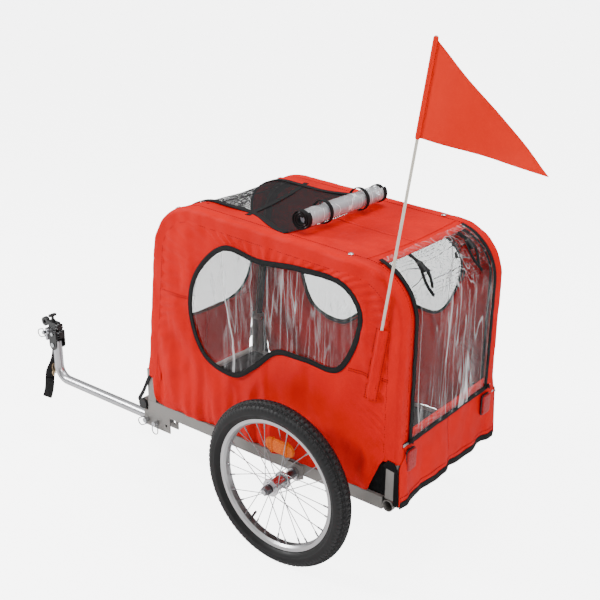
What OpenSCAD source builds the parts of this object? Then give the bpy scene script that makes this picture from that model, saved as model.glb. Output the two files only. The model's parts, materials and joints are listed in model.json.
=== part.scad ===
// Two-wheeled bicycle trailer with a fabric pet cabin on two folding side hoops.
// The front, where it is towed, points to -Y. Its left side is +X and up is +Z.
// The origin is on the ground, below the middle of the whole trailer.

/* [Wheels] */
// Outer diameter of a tyre
tyre_d = 400; // [392:1:404]
// Width of a tyre
tyre_w = 44; // [40:1:46]
// Outer diameter of a rim
rim_d = 322; // [318:1:326]
// Width of a rim
rim_w = 26; // [24:1:28]
// Distance of each wheel's middle plane from the trailer's middle
wheel_x = 281; // [280:1:286]
// Spokes in a wheel
spoke_count = 28; // [20, 28, 36]
// Diameter of a spoke
spoke_d = 2; // [1.8:0.2:2.4]
// Diameter of the axle bolt
axle_d = 12; // [10:1:12]

/* [Chassis] */
// Distance from the trailer's middle to the outer face of a side rail
rail_x = 212; // [211:1:214]
// Height of a side rail
rail_h = 30; // [28:1:32]
// Width of a side rail
rail_w = 25; // [24:1:26]
// Height of a side rail's top above the ground
rail_top = 226; // [225:1:228]
// Distance from the axle forward to the front end of a rail
rail_front = 487; // [485:1:489]
// Distance from the axle back to the rear cross tube
rail_rear = 250; // [249:1:252]
// Diameter of the cross tubes
cross_d = 27; // [25:1:28]
// Wall of the frame tubes
wall = 1.5; // [1:0.1:2]

/* [Side hoops] */
// Diameter of a hoop's tube
hoop_d = 16; // [15:0.5:17]
// Distance from the trailer's middle to a hoop
hoop_x = 200; // [199:0.5:200.5]
// Height of the left hoop's pivot above the ground
pivot_left = 300; // [299:1:302]
// How much higher the right hoop's pivot is, so that it folds on top of the left hoop
pivot_step = 30; // [29:1:32]
// Diameter of a pivot rivet
rivet_d = 6; // [5:0.5:6.5]

/* [Tow arm] */
// Diameter of the tow arm
arm_d = 25.4; // [24:0.1:25.4]
// Height of the tow arm above the ground
arm_z = 170; // [168:1:172]
// Distance from the axle forward to the arm's upright end
arm_reach = 859; // [850:1:870]
// Bend radius of the arm
arm_bend = 38; // [34:1:45]
// Diameter of a lock pin
pin_d = 8; // [7:0.5:8]
// Distance between the holes of the tow bracket
hole_pitch = 33; // [32:1:34]

/* [Hitch] */
// Height of the pivot where the hitch knuckle meets the arm
knuckle_z = 272; // [270:1:276]
// Diameter of the hole in the clamp's eye
eye_bore_d = 10.4; // [10:0.1:11]

/* [Cover] */
// Thickness of the fabric
cloth_t = 3; // [2.5:0.5:3]
// Height of the rear panel's upper edge above the ground
rear_sill = 376; // [370:1:380]
// Half the width of the front door
door_half_w = 128; // [120:1:135]
// Distance from the axle forward to the front door's upper seam
door_seam = 62; // [58:1:66]
// Height of the front door's lower edge above the ground
door_foot = 412; // [380:4:440]
// Half the width of the rear opening
flap_half_w = 160; // [150:1:165]
// Diameter of the rolled rain cover
roll_d = 50; // [44:1:54]
// Length of the rolled rain cover
roll_len = 296; // [270:1:310]

/* [Flag] */
// Height of the flag pole's tip above the ground
pole_top = 1190; // [1150:5:1220]
// Backward lean of the flag pole in degrees
pole_lean = 8.3; // [8:0.1:9]
// Diameter of the flag pole
pole_d = 6; // [5:0.5:7]

/* [Hidden] */
$fn = 48;

// Overlap that lets a cutting shape pass right through
cut = 1;
// Radial gap of everything that turns or slides in a hole
running = 0.05;
// How much wider a bend is than the straight tubes that run into it
weld = 0.15;
// Plate thickness of the brackets
plate_t = 3;
// Gap between two soft pieces that lie side by side
soft_gap = 2;

// The furthest points ahead of and behind the axle, which place the origin between them
front_reach = 935;
rear_reach = 537;
// How far the safety strap's end hangs ahead of the arm
strap_flare = front_reach - arm_reach - arm_d / 2 - 1;
axle_y = (front_reach - rear_reach) / 2;
axle_z = tyre_d / 2;

rail_z = rail_top - rail_h / 2;
rail_mid_x = rail_x - rail_w / 2;
pivot_right = pivot_left + pivot_step;
arm_x = rail_x - plate_t - arm_d / 2 - 0.3;
cloth_in = hoop_d / 2 + 0.5;
cloth_out = cloth_in + cloth_t;
skin_x = hoop_x + cloth_in;

// ---- Outline of a side hoop, as [y, z] points of its centreline ----

// Where the hoop's straight stretches would meet
foot_front = [-470, pivot_left];
corner_front = [-420, 758];
corner_rear = [254, 721];
foot_rear = [254, pivot_left];
bend_front = 120;
bend_rear = 110;

function unit(v) = v / norm(v);
function turned(v) = [-v.y, v.x];
function turn(a, b, c) = acos(unit(b - a) * unit(c - b));
function bend_tangent(a, b, c, r) = r * tan(turn(a, b, c) / 2);
function bend_centre(a, b, c, r) = b + unit(unit(a - b) + unit(c - b)) * r / cos(turn(a, b, c) / 2);
function bend_start(a, b, c, r) =
    let (t = b + unit(a - b) * bend_tangent(a, b, c, r) - bend_centre(a, b, c, r)) atan2(t.y, t.x);
// Points of the bend at b, moved out by d from the centreline. The bends turn clockwise.
function bend_points(a, b, c, r, d, steps = 14) = [
    for (i = [0 : steps])
        let (angle = bend_start(a, b, c, r) - turn(a, b, c) * i / steps)
        bend_centre(a, b, c, r) + (r + d) * [cos(angle), sin(angle)]
];
// The whole outline, moved out by d, with its feet at the height z
function outline(d, z) = concat(
    [leg_front(z) + d * turned(unit(corner_front - foot_front))],
    bend_points(foot_front, corner_front, corner_rear, bend_front, d),
    bend_points(corner_front, corner_rear, foot_rear, bend_rear, d),
    [[foot_rear.x + d, z]]
);
// The point at height z on the leaning front leg
function leg_front(z) = foot_front
    + (corner_front - foot_front) * (z - pivot_left) / (corner_front.y - pivot_left);
function reversed(list) = [for (i = [len(list) - 1 : -1 : 0]) list[i]];
// Height of the hoop's top bar at the distance y from the axle
function top_z(y) = corner_front.y + (corner_rear.y - corner_front.y) * (y - corner_front.x)
    / (corner_rear.x - corner_front.x);

// Closed smooth curve through the points of a list
function curve_point(p, i, t) =
    let (n = len(p), a = p[(i + n - 1) % n], b = p[i], c = p[(i + 1) % n], d = p[(i + 2) % n])
    (2 * b + (c - a) * t + (2 * a - 5 * b + 4 * c - d) * t * t + (3 * b - a - 3 * c + d) * t * t * t) / 2;
function closed_curve(p, steps = 6) = [
    for (i = [0 : len(p) - 1], s = [0 : steps - 1]) curve_point(p, i, s / steps)
];

// Bean-shaped side window, as [y, z] points round its edge
window_points = [
    [-322, 510], [-300, 610], [-215, 690], [-110, 682], [0, 690], [115, 682],
    [162, 612], [112, 492], [20, 486], [-60, 480], [-125, 425], [-190, 386], [-280, 412]
];
binding_w = 12;

// ---- Helpers ----

// Everything is laid out from the axle
module from_axle() {
    translate([0, axle_y, 0]) children();
}

module both_sides() {
    children();
    mirror([1, 0, 0]) children();
}

// Cylinder between two points
module rod(a, b, r) {
    v = b - a;
    translate(a) rotate([0, acos(v.z / norm(v)), atan2(v.y, v.x)]) cylinder(h = norm(v), r = r);
}

module along_x(r, length) {
    rotate([0, 90, 0]) cylinder(h = length, r = r, center = true);
}

module along_y(r, length) {
    rotate([90, 0, 0]) cylinder(h = length, r = r, center = true);
}

module tube_x(d, length, wall) {
    difference() {
        along_x(d / 2, length);
        along_x(d / 2 - wall, length + 2 * cut);
    }
}

// Extrudes a [y, z] drawing along X, from x0 to x1
module extrude_x(x0, x1) {
    translate([x0, 0, 0]) rotate([90, 0, 90]) linear_extrude(x1 - x0) children();
}

module rounded_rect(w, h, r) {
    hull() for (x = [-1, 1], y = [-1, 1]) translate([x * (w / 2 - r), y * (h / 2 - r)]) circle(r, $fn = 32);
}

ring_wire_r = 1.4;
// Hole through a pin's head for the wire ring's bar
ring_hole_r = ring_wire_r + running;

// Wire ring whose bar lies along Y through the origin and whose bow hangs down from it
module wire_ring(span, drop) {
    along_y(ring_wire_r, 2 * span);
    for (side = [-1, 1]) translate([0, side * span, 0]) {
        sphere(ring_wire_r);
        translate([0, 0, -drop]) cylinder(h = drop, r = ring_wire_r);
    }
    translate([0, 0, -drop]) rotate([90, 0, 90]) rotate([0, 0, 180])
        rotate_extrude(angle = 180) translate([span, 0]) circle(ring_wire_r);
}

// ---- Chassis ----

module side_rails() {
    from_axle() color("silver") both_sides()
        translate([rail_mid_x, (rail_rear - cross_d / 2 - rail_front) / 2, rail_z]) {
            length = rail_front + rail_rear - cross_d / 2 - 2 * soft_gap;
            difference() {
                cube([rail_w, length, rail_h], center = true);
                cube([rail_w - 2 * wall, length + 2 * cut, rail_h - 2 * wall], center = true);
            }
        }
}

front_tube_y = -rail_front - cross_d / 2;

module cross_tubes() {
    from_axle() color("silver") {
        translate([0, front_tube_y, rail_z]) tube_x(cross_d, 2 * rail_x - 4, wall);
        translate([0, 0, rail_z]) tube_x(cross_d - 2, 2 * (rail_x - rail_w) - 1, wall);
    }
}

module rear_cross_tube() {
    from_axle() color("silver") translate([0, rail_rear, rail_z]) tube_x(cross_d, 2 * rail_x + 4, wall);
}

module tube_caps() {
    cap_t = 7;
    from_axle() color("black") both_sides() translate([rail_x - 2 + cap_t / 2, front_tube_y, rail_z]) {
        along_x(cross_d / 2, cap_t - 0.2);
        translate([-8, 0, 0]) along_x(cross_d / 2 - wall - 0.1, 12);
    }
}

plate_half_w = 22;

module axle_plates() {
    from_axle() color("silver") both_sides() difference() {
        extrude_x(rail_x + 0.1, rail_x + 5) {
            translate([-plate_half_w, axle_z]) square([2 * plate_half_w, rail_top - axle_z - 4]);
            translate([0, axle_z]) circle(plate_half_w);
            translate([-plate_half_w, axle_z - 12]) square([2 * plate_half_w, 14]);
        }
        translate([rail_x, 0, axle_z]) along_x(axle_d / 2 + running, 20);
    }
}

hub_in = 25;
hub_out = 30;
bolt_in_x = rail_x + 0.2;
bolt_out_x = wheel_x + hub_out + 17;

module axle_bolts() {
    from_axle() color("silver") both_sides() translate([0, 0, axle_z]) {
        translate([(bolt_in_x + bolt_out_x) / 2, 0, 0]) along_x(axle_d / 2, bolt_out_x - bolt_in_x);
        translate([rail_x + 9.6, 0, 0]) along_x(14, 9);
    }
}

// Washer and nut at the outer end, and the black spacer between plate and hub
module axle_nuts() {
    spacer_x = rail_x + 14.2;
    from_axle() color("dimgray") both_sides() translate([0, 0, axle_z]) {
        difference() {
            union() {
                translate([(spacer_x + wheel_x - hub_in - 1) / 2, 0, 0])
                    along_x(10, wheel_x - hub_in - 1 - spacer_x);
                translate([wheel_x + hub_out + 2, 0, 0]) along_x(11, 2);
                translate([wheel_x + hub_out + 8.1, 0, 0]) rotate([0, 90, 0])
                    cylinder(h = 10, r = 11, center = true, $fn = 6);
            }
            translate([wheel_x, 0, 0]) along_x(axle_d / 2 + running, 200);
        }
    }
}

// Channel that is open towards the cabin and holds a hoop's foot between its flanges
module hoop_post(y, pivot_z) {
    gap = hoop_d / 2 + 2.5;
    half = gap + plate_t;
    top = pivot_z + 14;
    web_x = hoop_x + hoop_d / 2 + 0.3;
    difference() {
        translate([hoop_x - 9, y - half, rail_top + 0.1])
            cube([web_x + plate_t - hoop_x + 9, 2 * half, top - rail_top]);
        translate([hoop_x - 9 - cut, y - gap, rail_top])
            cube([web_x - hoop_x + 9 + cut, 2 * gap, top - rail_top + cut]);
        translate([hoop_x, y, pivot_z]) along_y(rivet_d / 2 + 0.01, 60);
    }
}

module hoop_posts() {
    from_axle() color("darkgray") {
        for (y = [foot_front.x, foot_rear.x]) hoop_post(y, pivot_left);
        mirror([1, 0, 0]) {
            hoop_post(leg_front(pivot_right).x, pivot_right);
            hoop_post(foot_rear.x, pivot_right);
        }
    }
}

module post_rivet(y, pivot_z) {
    reach = hoop_d / 2 + 2.5 + plate_t;
    translate([hoop_x, y, pivot_z]) {
        along_y(rivet_d / 2, 2 * reach + 1);
        for (side = [-1, 1]) translate([0, side * (reach + 1.6), 0]) along_y(rivet_d * 0.85, 3);
    }
}

module post_rivets() {
    from_axle() color("white") {
        for (y = [foot_front.x, foot_rear.x]) post_rivet(y, pivot_left);
        mirror([1, 0, 0]) {
            post_rivet(leg_front(pivot_right).x, pivot_right);
            post_rivet(foot_rear.x, pivot_right);
        }
    }
}

module floor_board() {
    half = rail_x - rail_w - 6;
    from_axle() color("black") translate([-half, -rail_front + 22, rail_top + 0.5])
        cube([2 * half, rail_front + rail_rear - 36, 6]);
}

// ---- Tow arm ----

hole_rear_y = -421;
bracket_front = 500;
bracket_rear = 408;

module tow_bracket() {
    base = arm_z - 18;
    top = rail_top - rail_h - 0.1;
    from_axle() color("silver") difference() {
        translate([arm_x, 0, 0]) for (side = [-1, 1])
            translate([side * (arm_d / 2 + 0.3 + plate_t / 2) - plate_t / 2, -bracket_front, base])
                cube([plate_t, bracket_front - bracket_rear, top - base]);
        for (i = [0 : 2]) translate([arm_x, hole_rear_y - i * hole_pitch, arm_z])
            along_x(pin_d / 2 + running, 100);
    }
    from_axle() color("silver") translate([arm_x - arm_d / 2 - 0.3 - plate_t, -bracket_front, top - plate_t])
        cube([arm_d + 0.6 + 2 * plate_t, bracket_front - bracket_rear, plate_t]);
}

module tow_arm() {
    start_y = -bracket_rear - 24;
    bend_y = -arm_reach + arm_bend;
    from_axle() color("gainsboro") difference() {
        union() {
            translate([arm_x, (start_y + bend_y) / 2, arm_z]) along_y(arm_d / 2, start_y - bend_y);
            translate([arm_x, bend_y, arm_z + arm_bend]) rotate([90, 0, 90]) rotate([0, 0, 180])
                rotate_extrude(angle = 90) translate([arm_bend, 0]) circle(arm_d / 2 + weld);
            translate([arm_x, -arm_reach, arm_z + arm_bend - 1])
                cylinder(h = knuckle_z + 11 - arm_z - arm_bend, r = arm_d / 2);
        }
        translate([arm_x, (start_y + bend_y) / 2, arm_z]) along_y(arm_d / 2 - 2, start_y - bend_y + 2);
        translate([arm_x, -arm_reach, arm_z + arm_bend])
            cylinder(h = knuckle_z + 20 - arm_z - arm_bend, r = arm_d / 2 - 2);
        for (i = [1 : 2]) translate([arm_x, hole_rear_y - i * hole_pitch, arm_z])
            along_x(pin_d / 2 + running, 60);
        translate([arm_x, -arm_reach, knuckle_z]) along_x(4 + running, 60);
    }
}

// How far a lock pin's ring stands from the arm's middle, and how the two rings are turned
ring_x = arm_d / 2 + plate_t + 9;
ring_tilt = [0, 0, -60];
// Half the width of a lock pin's ring, and the length of its straight legs
lock_ring_half = 10;
lock_ring_drop = 20;

// Lock pin in the bracket's hole number index, counted from the rear
module lock_pin(index) {
    reach = arm_d / 2 + plate_t;
    from_axle() translate([arm_x, hole_rear_y - index * hole_pitch, arm_z]) difference() {
        union() {
            translate([2, 0, 0]) along_x(pin_d / 2, 2 * reach + 18);
            translate([reach + 8, 0, 0]) along_x(pin_d / 2 + 2.5, 12);
        }
        translate([ring_x, 0, 0]) rotate([ring_tilt[index], 0, 0]) along_y(ring_hole_r, 30);
    }
}

module lock_pin_front() {
    color("white") lock_pin(2);
}

module lock_pin_rear() {
    color("white") lock_pin(1);
}

// Ring through the head of lock pin number index
module lock_ring(index) {
    from_axle() translate([arm_x + ring_x, hole_rear_y - index * hole_pitch, arm_z])
        rotate([ring_tilt[index], 0, 0]) wire_ring(lock_ring_half, lock_ring_drop);
}

module lock_ring_front() {
    color("white") lock_ring(2);
}

module lock_ring_rear() {
    color("white") lock_ring(1);
}

// ---- Hitch ----

cheek_half_w = 15;
bridge_t = 3.5;
knuckle_rivet_r = 4;
tongue_rivet_r = 3;
// Gap round a rivet that fills its hole
snug = 0.02;
tongue_z = knuckle_z + 34;
rivet_z = tongue_z - 2;
tongue_pin_y = -arm_reach - 28;
clamp_z = tongue_z + 9;

// Fork with two cheeks round the arm's end, joined by a bridge above it
module hitch_knuckle() {
    gap = arm_d / 2 + 0.4;
    top = knuckle_z + 39;
    from_axle() color("black") translate([arm_x, -arm_reach, 0]) difference() {
        union() {
            for (side = [-1, 1]) translate([side * (gap + plate_t / 2), 0, 0])
                extrude_x(-plate_t / 2, plate_t / 2) {
                    translate([0, knuckle_z]) circle(cheek_half_w);
                    translate([-cheek_half_w, knuckle_z]) square([2 * cheek_half_w, top - knuckle_z]);
                }
            translate([-gap - plate_t, -cheek_half_w, knuckle_z + 18])
                cube([2 * (gap + plate_t), 2 * cheek_half_w, bridge_t]);
        }
        translate([0, 0, knuckle_z]) along_x(knuckle_rivet_r + snug, 60);
        translate([0, 0, rivet_z]) along_x(tongue_rivet_r + snug, 60);
    }
}

module hitch_rivets() {
    reach = arm_d / 2 + 0.4 + plate_t;
    from_axle() color("white") translate([arm_x, -arm_reach, 0]) {
        translate([0, 0, knuckle_z]) {
            along_x(knuckle_rivet_r, 2 * reach + 1);
            for (side = [-1, 1]) translate([side * (reach + 1.2), 0, 0]) along_x(6.5, 2.4);
        }
        translate([0, 0, rivet_z]) {
            along_x(tongue_rivet_r, 2 * reach + 1);
            for (side = [-1, 1]) translate([side * (reach + 1.2), 0, 0]) along_x(5, 2.4);
        }
    }
}

// Silver bar that is riveted between the cheeks and carries the clamp on its upright neck
module hitch_tongue() {
    from_axle() color("silver") translate([arm_x, -arm_reach, 0]) difference() {
        union() {
            translate([-10, -38, tongue_z - 9]) cube([20, 50, 14]);
            translate([-10, -38, tongue_z - 30]) cube([20, 8, 22]);
        }
        translate([0, 0, rivet_z]) along_x(tongue_rivet_r + snug, 60);
        translate([0, -28, rivet_z]) along_x(coupling_pin_r + running, 60);
        translate([0, -12, tongue_z]) cylinder(h = 40, r = kingbolt_r + snug, center = true);
    }
}

coupling_pin_r = 3;
kingbolt_r = 4;
// Where the coupling pin's ring stands, and how far it is turned up from hanging
coupling_ring_x = 21;
coupling_ring_tilt = -70;

module hitch_pin() {
    from_axle() color("white") translate([arm_x, tongue_pin_y, rivet_z]) difference() {
        union() {
            translate([4.5, 0, 0]) along_x(coupling_pin_r, 41);
            translate([coupling_ring_x, 0, 0]) along_x(coupling_pin_r + 2, 8);
        }
        translate([coupling_ring_x, 0, 0]) rotate([coupling_ring_tilt, 0, 0]) along_y(ring_hole_r, 30);
    }
}

module hitch_ring() {
    from_axle() color("silver") translate([arm_x + coupling_ring_x, tongue_pin_y, rivet_z])
        rotate([coupling_ring_tilt, 0, 0]) wire_ring(11, 16);
}

eye_y = -arm_reach - 43;
eye_z = clamp_z + 13;
kingbolt_y = -arm_reach - 12;

// Clamp block that yaws on the kingbolt, with the eye for the bicycle's axle
module hitch_clamp() {
    from_axle() color("black") translate([arm_x, 0, 0]) difference() {
        union() {
            translate([-9, kingbolt_y - 10, clamp_z - 3.5]) cube([18, 30, 24]);
            translate([-5, eye_y, eye_z - 6]) cube([10, 30, 12]);
            translate([0, eye_y, eye_z]) along_x(13, 10);
        }
        translate([0, eye_y, eye_z]) along_x(eye_bore_d / 2, 60);
        translate([0, kingbolt_y, clamp_z]) cylinder(h = 80, r = kingbolt_r + running, center = true);
        translate([0, kingbolt_y + 20, clamp_z + 10]) along_y(3 + running, 14);
    }
}

module clamp_kingbolt() {
    from_axle() color("black") translate([arm_x, kingbolt_y, 0]) {
        translate([0, 0, tongue_z - 11]) cylinder(h = clamp_z + 36 - tongue_z + 11, r = kingbolt_r);
        translate([0, 0, clamp_z + 21]) cylinder(h = 4, r = 7);
        translate([0, 0, clamp_z + 36]) linear_extrude(5) rounded_rect(24, 12, 5);
    }
}

// Star-shaped hand knob whose screw points to -Y
module star_knob(d, screw_d, screw_len) {
    rotate([-90, 0, 0]) {
        difference() {
            cylinder(h = 9, r = d / 2);
            for (i = [0 : 5]) rotate(60 * i) translate([d / 2 + 2, 0, -cut])
                cylinder(h = 9 + 2 * cut, r = 4);
        }
        translate([0, 0, -screw_len]) cylinder(h = screw_len + cut, r = screw_d / 2);
    }
}

module clamp_knob() {
    from_axle() color("black") translate([arm_x, kingbolt_y + 20.5, clamp_z + 10]) star_knob(22, 6, 6.5);
}

module knuckle_knob() {
    from_axle() color("black") translate([arm_x, -arm_reach + 12.5, rivet_z]) star_knob(20, 6, 0.3);
}

strap_top = knuckle_z - 22;

// Webbing strap that hangs in front of the arm's upright end
module safety_strap() {
    strap_t = 3;
    from_axle() color("black") translate([arm_x, -arm_reach - arm_d / 2 - 1, 0]) {
        extrude_x(-12.5, 12.5) polygon([
            [-1, strap_top + 10], [-1 - strap_t, strap_top + 10], [-42, 112],
            [-strap_flare, 86], [-56, 84], [-38, 110]
        ]);
    }
}

module strap_hook() {
    from_axle() color("goldenrod") translate([arm_x, -arm_reach - arm_d / 2 - 13.4, 172])
        rotate([90, 0, 90]) rotate([0, 0, 20]) rotate_extrude(angle = 230)
            translate([8, 0]) circle(1.6, $fn = 24);
}

// ---- Wheels, built on the +X side and mirrored ----

module on_side(side) {
    from_axle() mirror([side < 0 ? 1 : 0, 0, 0]) translate([wheel_x, 0, axle_z]) children();
}

// Turns a drawing of [radius, x] round the wheel's axle
module wheel_turn() {
    rotate([0, 90, 0]) rotate_extrude($fn = 96) children();
}

bead_r = rim_d / 2 - 6;
tube_r = 15;

module tyre(side) {
    crown_r = tyre_w / 2;
    centre_r = tyre_d / 2 - crown_r;
    on_side(side) wheel_turn() difference() {
        union() {
            translate([centre_r, 0]) circle(crown_r);
            translate([bead_r + 1, -rim_w / 2 + 3]) square([centre_r - bead_r, rim_w - 6]);
        }
        translate([centre_r - 1, 0]) circle(tube_r + 2);
        // Seats of the rim's edges
        for (side = [-1, 1]) translate([bead_r, side * rim_w / 2])
            square([2 * (rim_d / 2 - bead_r + 0.2), 6], center = true);
        translate([bead_r - cut, -rim_w / 2 + 5]) square([centre_r - bead_r, rim_w - 10]);
    }
}

// Turn of the valve from the top of the wheel, midway between two spokes
valve_turn = (floor(234 * spoke_count / 360) + 0.5) * 360 / spoke_count - 90;

module inner_tube(side) {
    centre_r = tyre_d / 2 - tyre_w / 2 - 1;
    on_side(side) {
        wheel_turn() translate([centre_r, 0]) difference() {
            circle(tube_r);
            circle(tube_r - 2);
        }
        rotate([valve_turn, 0, 0]) translate([0, 0, bead_r - 38])
            cylinder(h = centre_r - bead_r + 26, r = 3);
    }
}

module rim(side) {
    h = 14;
    on_side(side) difference() {
        wheel_turn() difference() {
            translate([rim_d / 2 - h, 0]) polygon([
                [0, -7], [4, -rim_w / 2 + 1], [h, -rim_w / 2], [h, -rim_w / 2 + 2], [6, -rim_w / 2 + 3],
                [3, -6], [3, 6], [6, rim_w / 2 - 3], [h, rim_w / 2 - 2], [h, rim_w / 2],
                [4, rim_w / 2 - 1], [0, 7]
            ]);
        }
        rotate([valve_turn, 0, 0]) translate([0, 0, rim_d / 2 - 20]) cylinder(h = 20, r = 3.2);
    }
}

flange_r = 21;
flange_x = 19;
bearing_r = 11;

// Spoke number i runs from a flange, crosses its neighbours and ends in the rim
module spokes(side) {
    step = 360 / spoke_count;
    rim_r = rim_d / 2 - 15;
    on_side(side) for (i = [0 : spoke_count - 1]) {
        flange_side = i % 2 == 0 ? 1 : -1;
        lead = (floor(i / 2) % 2 == 0 ? 1 : -1) * 62;
        rim_angle = i * step;
        hub_angle = rim_angle + lead;
        a = [flange_side * flange_x, (flange_r - 3) * cos(hub_angle), (flange_r - 3) * sin(hub_angle)];
        b = [flange_side * 4, rim_r * cos(rim_angle), rim_r * sin(rim_angle)];
        n = unit(b - a);
        rod(a, b, spoke_d / 2);
        rod(b - 12 * n, b, spoke_d / 2 + 0.9);
    }
}

module hub(side) {
    on_side(side) difference() {
        union() {
            translate([(hub_out - hub_in) / 2, 0, 0]) along_x(15, hub_in + hub_out - 2);
            for (x = [-1, 1]) translate([x * (flange_x + 2.6), 0, 0]) along_x(flange_r, 3);
        }
        translate([(hub_out - hub_in) / 2, 0, 0]) along_x(bearing_r, 100);
    }
}

// Two ball bearings with their bore running on the axle bolt
module bearings(side) {
    on_side(side) for (x = [-hub_in + 5, hub_out - 5]) translate([x, 0, 0]) difference() {
        along_x(bearing_r - snug, 8);
        along_x(axle_d / 2 + running, 10);
    }
}

module spoke_reflector(side) {
    on_side(side) translate([0, 8, 96]) extrude_x(-4, 4) hull() {
        for (y = [-1, 1]) translate([y * 24, 0]) circle(15, $fn = 32);
    }
}

module tyre_left() { color("#262626") tyre(1); }
module tyre_right() { color("#262626") tyre(-1); }
module inner_tube_left() { color("black") inner_tube(1); }
module inner_tube_right() { color("black") inner_tube(-1); }
module rim_left() { color("silver") rim(1); }
module rim_right() { color("silver") rim(-1); }
module spokes_left() { color("gainsboro") spokes(1); }
module spokes_right() { color("gainsboro") spokes(-1); }
module hub_left() { color("silver") hub(1); }
module hub_right() { color("silver") hub(-1); }
module bearings_left() { color("gray") bearings(1); }
module bearings_right() { color("gray") bearings(-1); }
module spoke_reflector_left() { color("orange") spoke_reflector(1); }
module spoke_reflector_right() { color("orange") spoke_reflector(-1); }

// ---- Side hoops ----

module hoop(pivot_z) {
    r = hoop_d / 2;
    foot_f = leg_front(pivot_z);
    foot_r = [foot_rear.x, pivot_z];
    start_f = corner_front + unit(foot_front - corner_front)
        * bend_tangent(foot_front, corner_front, corner_rear, bend_front);
    end_f = corner_front + unit(corner_rear - corner_front)
        * bend_tangent(foot_front, corner_front, corner_rear, bend_front);
    start_r = corner_rear + unit(corner_front - corner_rear)
        * bend_tangent(corner_front, corner_rear, foot_rear, bend_rear);
    end_r = corner_rear + [0, -bend_tangent(corner_front, corner_rear, foot_rear, bend_rear)];
    difference() {
        union() {
            hoop_bar(foot_f, start_f + unit(corner_front - foot_front));
            hoop_bar(end_f - unit(corner_rear - corner_front), start_r + unit(corner_rear - corner_front));
            hoop_bar(foot_r, end_r + [0, 1]);
            hoop_bend(foot_front, corner_front, corner_rear, bend_front);
            hoop_bend(corner_front, corner_rear, foot_rear, bend_rear);
            for (foot = [foot_f, foot_r]) translate([hoop_x, foot.x, foot.y]) along_y(r + 0.2, 2 * r);
        }
        for (foot = [foot_f, foot_r]) translate([hoop_x, foot.x, foot.y])
            along_y(rivet_d / 2 + running, 40);
    }
}

// Straight stretch between two [y, z] points
module hoop_bar(a, b) {
    rod([hoop_x, a.x, a.y], [hoop_x, b.x, b.y], hoop_d / 2);
}

module hoop_bend(a, b, c, bend) {
    centre = bend_centre(a, b, c, bend);
    sweep = turn(a, b, c);
    translate([hoop_x, centre.x, centre.y]) rotate([90, 0, 90])
        rotate([0, 0, bend_start(a, b, c, bend) - sweep]) rotate_extrude(angle = sweep)
            translate([bend, 0]) circle(hoop_d / 2 + weld);
}

module side_hoop_left() {
    from_axle() color("gray") hoop(pivot_left);
}

module side_hoop_right() {
    from_axle() color("gray") translate([-2 * hoop_x, 0, 0]) hoop(pivot_right);
}

// ---- Fabric cover ----

// Side wall inside the hoop's outer edge, from the height z up
module side_sheet(z) {
    polygon(outline(hoop_d / 2, z));
}

module window_shape() {
    polygon(closed_curve(window_points));
}

module side_panel(z) {
    extrude_x(skin_x, skin_x + cloth_t) difference() {
        side_sheet(z);
        window_shape();
    }
}

pocket_y = 182;
pocket_z0 = 448;
pocket_z1 = 612;
pole_x = skin_x + cloth_t + 6;

// Point of the flag pole's axis at the height z, as [y, z]
function pole_point(z) = [pocket_y + 12 + tan(pole_lean) * (z - pocket_z0), z];

module pole_axis(z0, z1, r) {
    a = pole_point(z0);
    b = pole_point(z1);
    rod([pole_x, a.x, a.y], [pole_x, b.x, b.y], r);
}

module side_panel_left() {
    from_axle() color("red") {
        side_panel(pivot_left + 16);
        difference() {
            pole_axis(pocket_z0, pocket_z1, pole_d / 2 + 2.2);
            pole_axis(pocket_z0 + 4, pocket_z1 + 20, pole_d / 2 + 0.3);
        }
    }
}

module side_panel_right() {
    from_axle() color("red") mirror([1, 0, 0]) side_panel(pivot_right + 16);
}

module side_window() {
    extrude_x(skin_x + 0.8, skin_x + 2) offset(-0.3) window_shape();
}

module window_binding() {
    extrude_x(skin_x + cloth_t + 0.1, skin_x + cloth_t + 2.1) difference() {
        offset(binding_w / 2) window_shape();
        offset(-binding_w / 2) window_shape();
    }
}

module side_window_left() { from_axle() color("white") side_window(); }
module side_window_right() { from_axle() color("white") mirror([1, 0, 0]) side_window(); }
module window_binding_left() { from_axle() color("black") window_binding(); }
module window_binding_right() { from_axle() color("black") mirror([1, 0, 0]) window_binding(); }

// Sheet that follows the hoops' outline at the distance d, t thick
module band(d, t, half_w, z = rail_top + 6) {
    extrude_x(-half_w, half_w) polygon(concat(outline(d + t, z), reversed(outline(d, z))));
}

cover_half_w = skin_x - 1;
rear_seam_y = 150;

module door_box(grow) {
    half = door_half_w + grow;
    translate([-half, -600, door_foot - grow]) cube([2 * half, 600 - door_seam + grow, 700]);
}

module flap_box(grow) {
    half = flap_half_w + grow;
    translate([-half, rear_seam_y + 34 - grow, rear_sill - grow]) cube([2 * half, 200, 400]);
}

module behind_seam() {
    translate([-300, rear_seam_y, 0]) cube([600, 300, 900]);
}

// Room in the cover for the posts at its corners
module post_rooms() {
    room = 20;
    for (y = [foot_front.x, foot_rear.x]) {
        translate([hoop_x - 12, y - room, 0]) cube([30, 2 * room, pivot_left + 17]);
        mirror([1, 0, 0]) translate([hoop_x - 12, y - room, 0]) cube([30, 2 * room, pivot_right + 17]);
    }
}

module canopy() {
    from_axle() color("red") difference() {
        band(cloth_in, cloth_t, cover_half_w);
        behind_seam();
        door_box(soft_gap);
        post_rooms();
    }
}

module rear_panel() {
    from_axle() color("red") intersection() {
        difference() {
            band(cloth_in, cloth_t, cover_half_w);
            flap_box(soft_gap);
            post_rooms();
        }
        translate([0, 0.5, 0]) behind_seam();
    }
}

module rear_mesh() {
    from_axle() color("dimgray") intersection() {
        band(cloth_in + 0.5, cloth_t - 1, cover_half_w);
        flap_box(0);
    }
}

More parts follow.
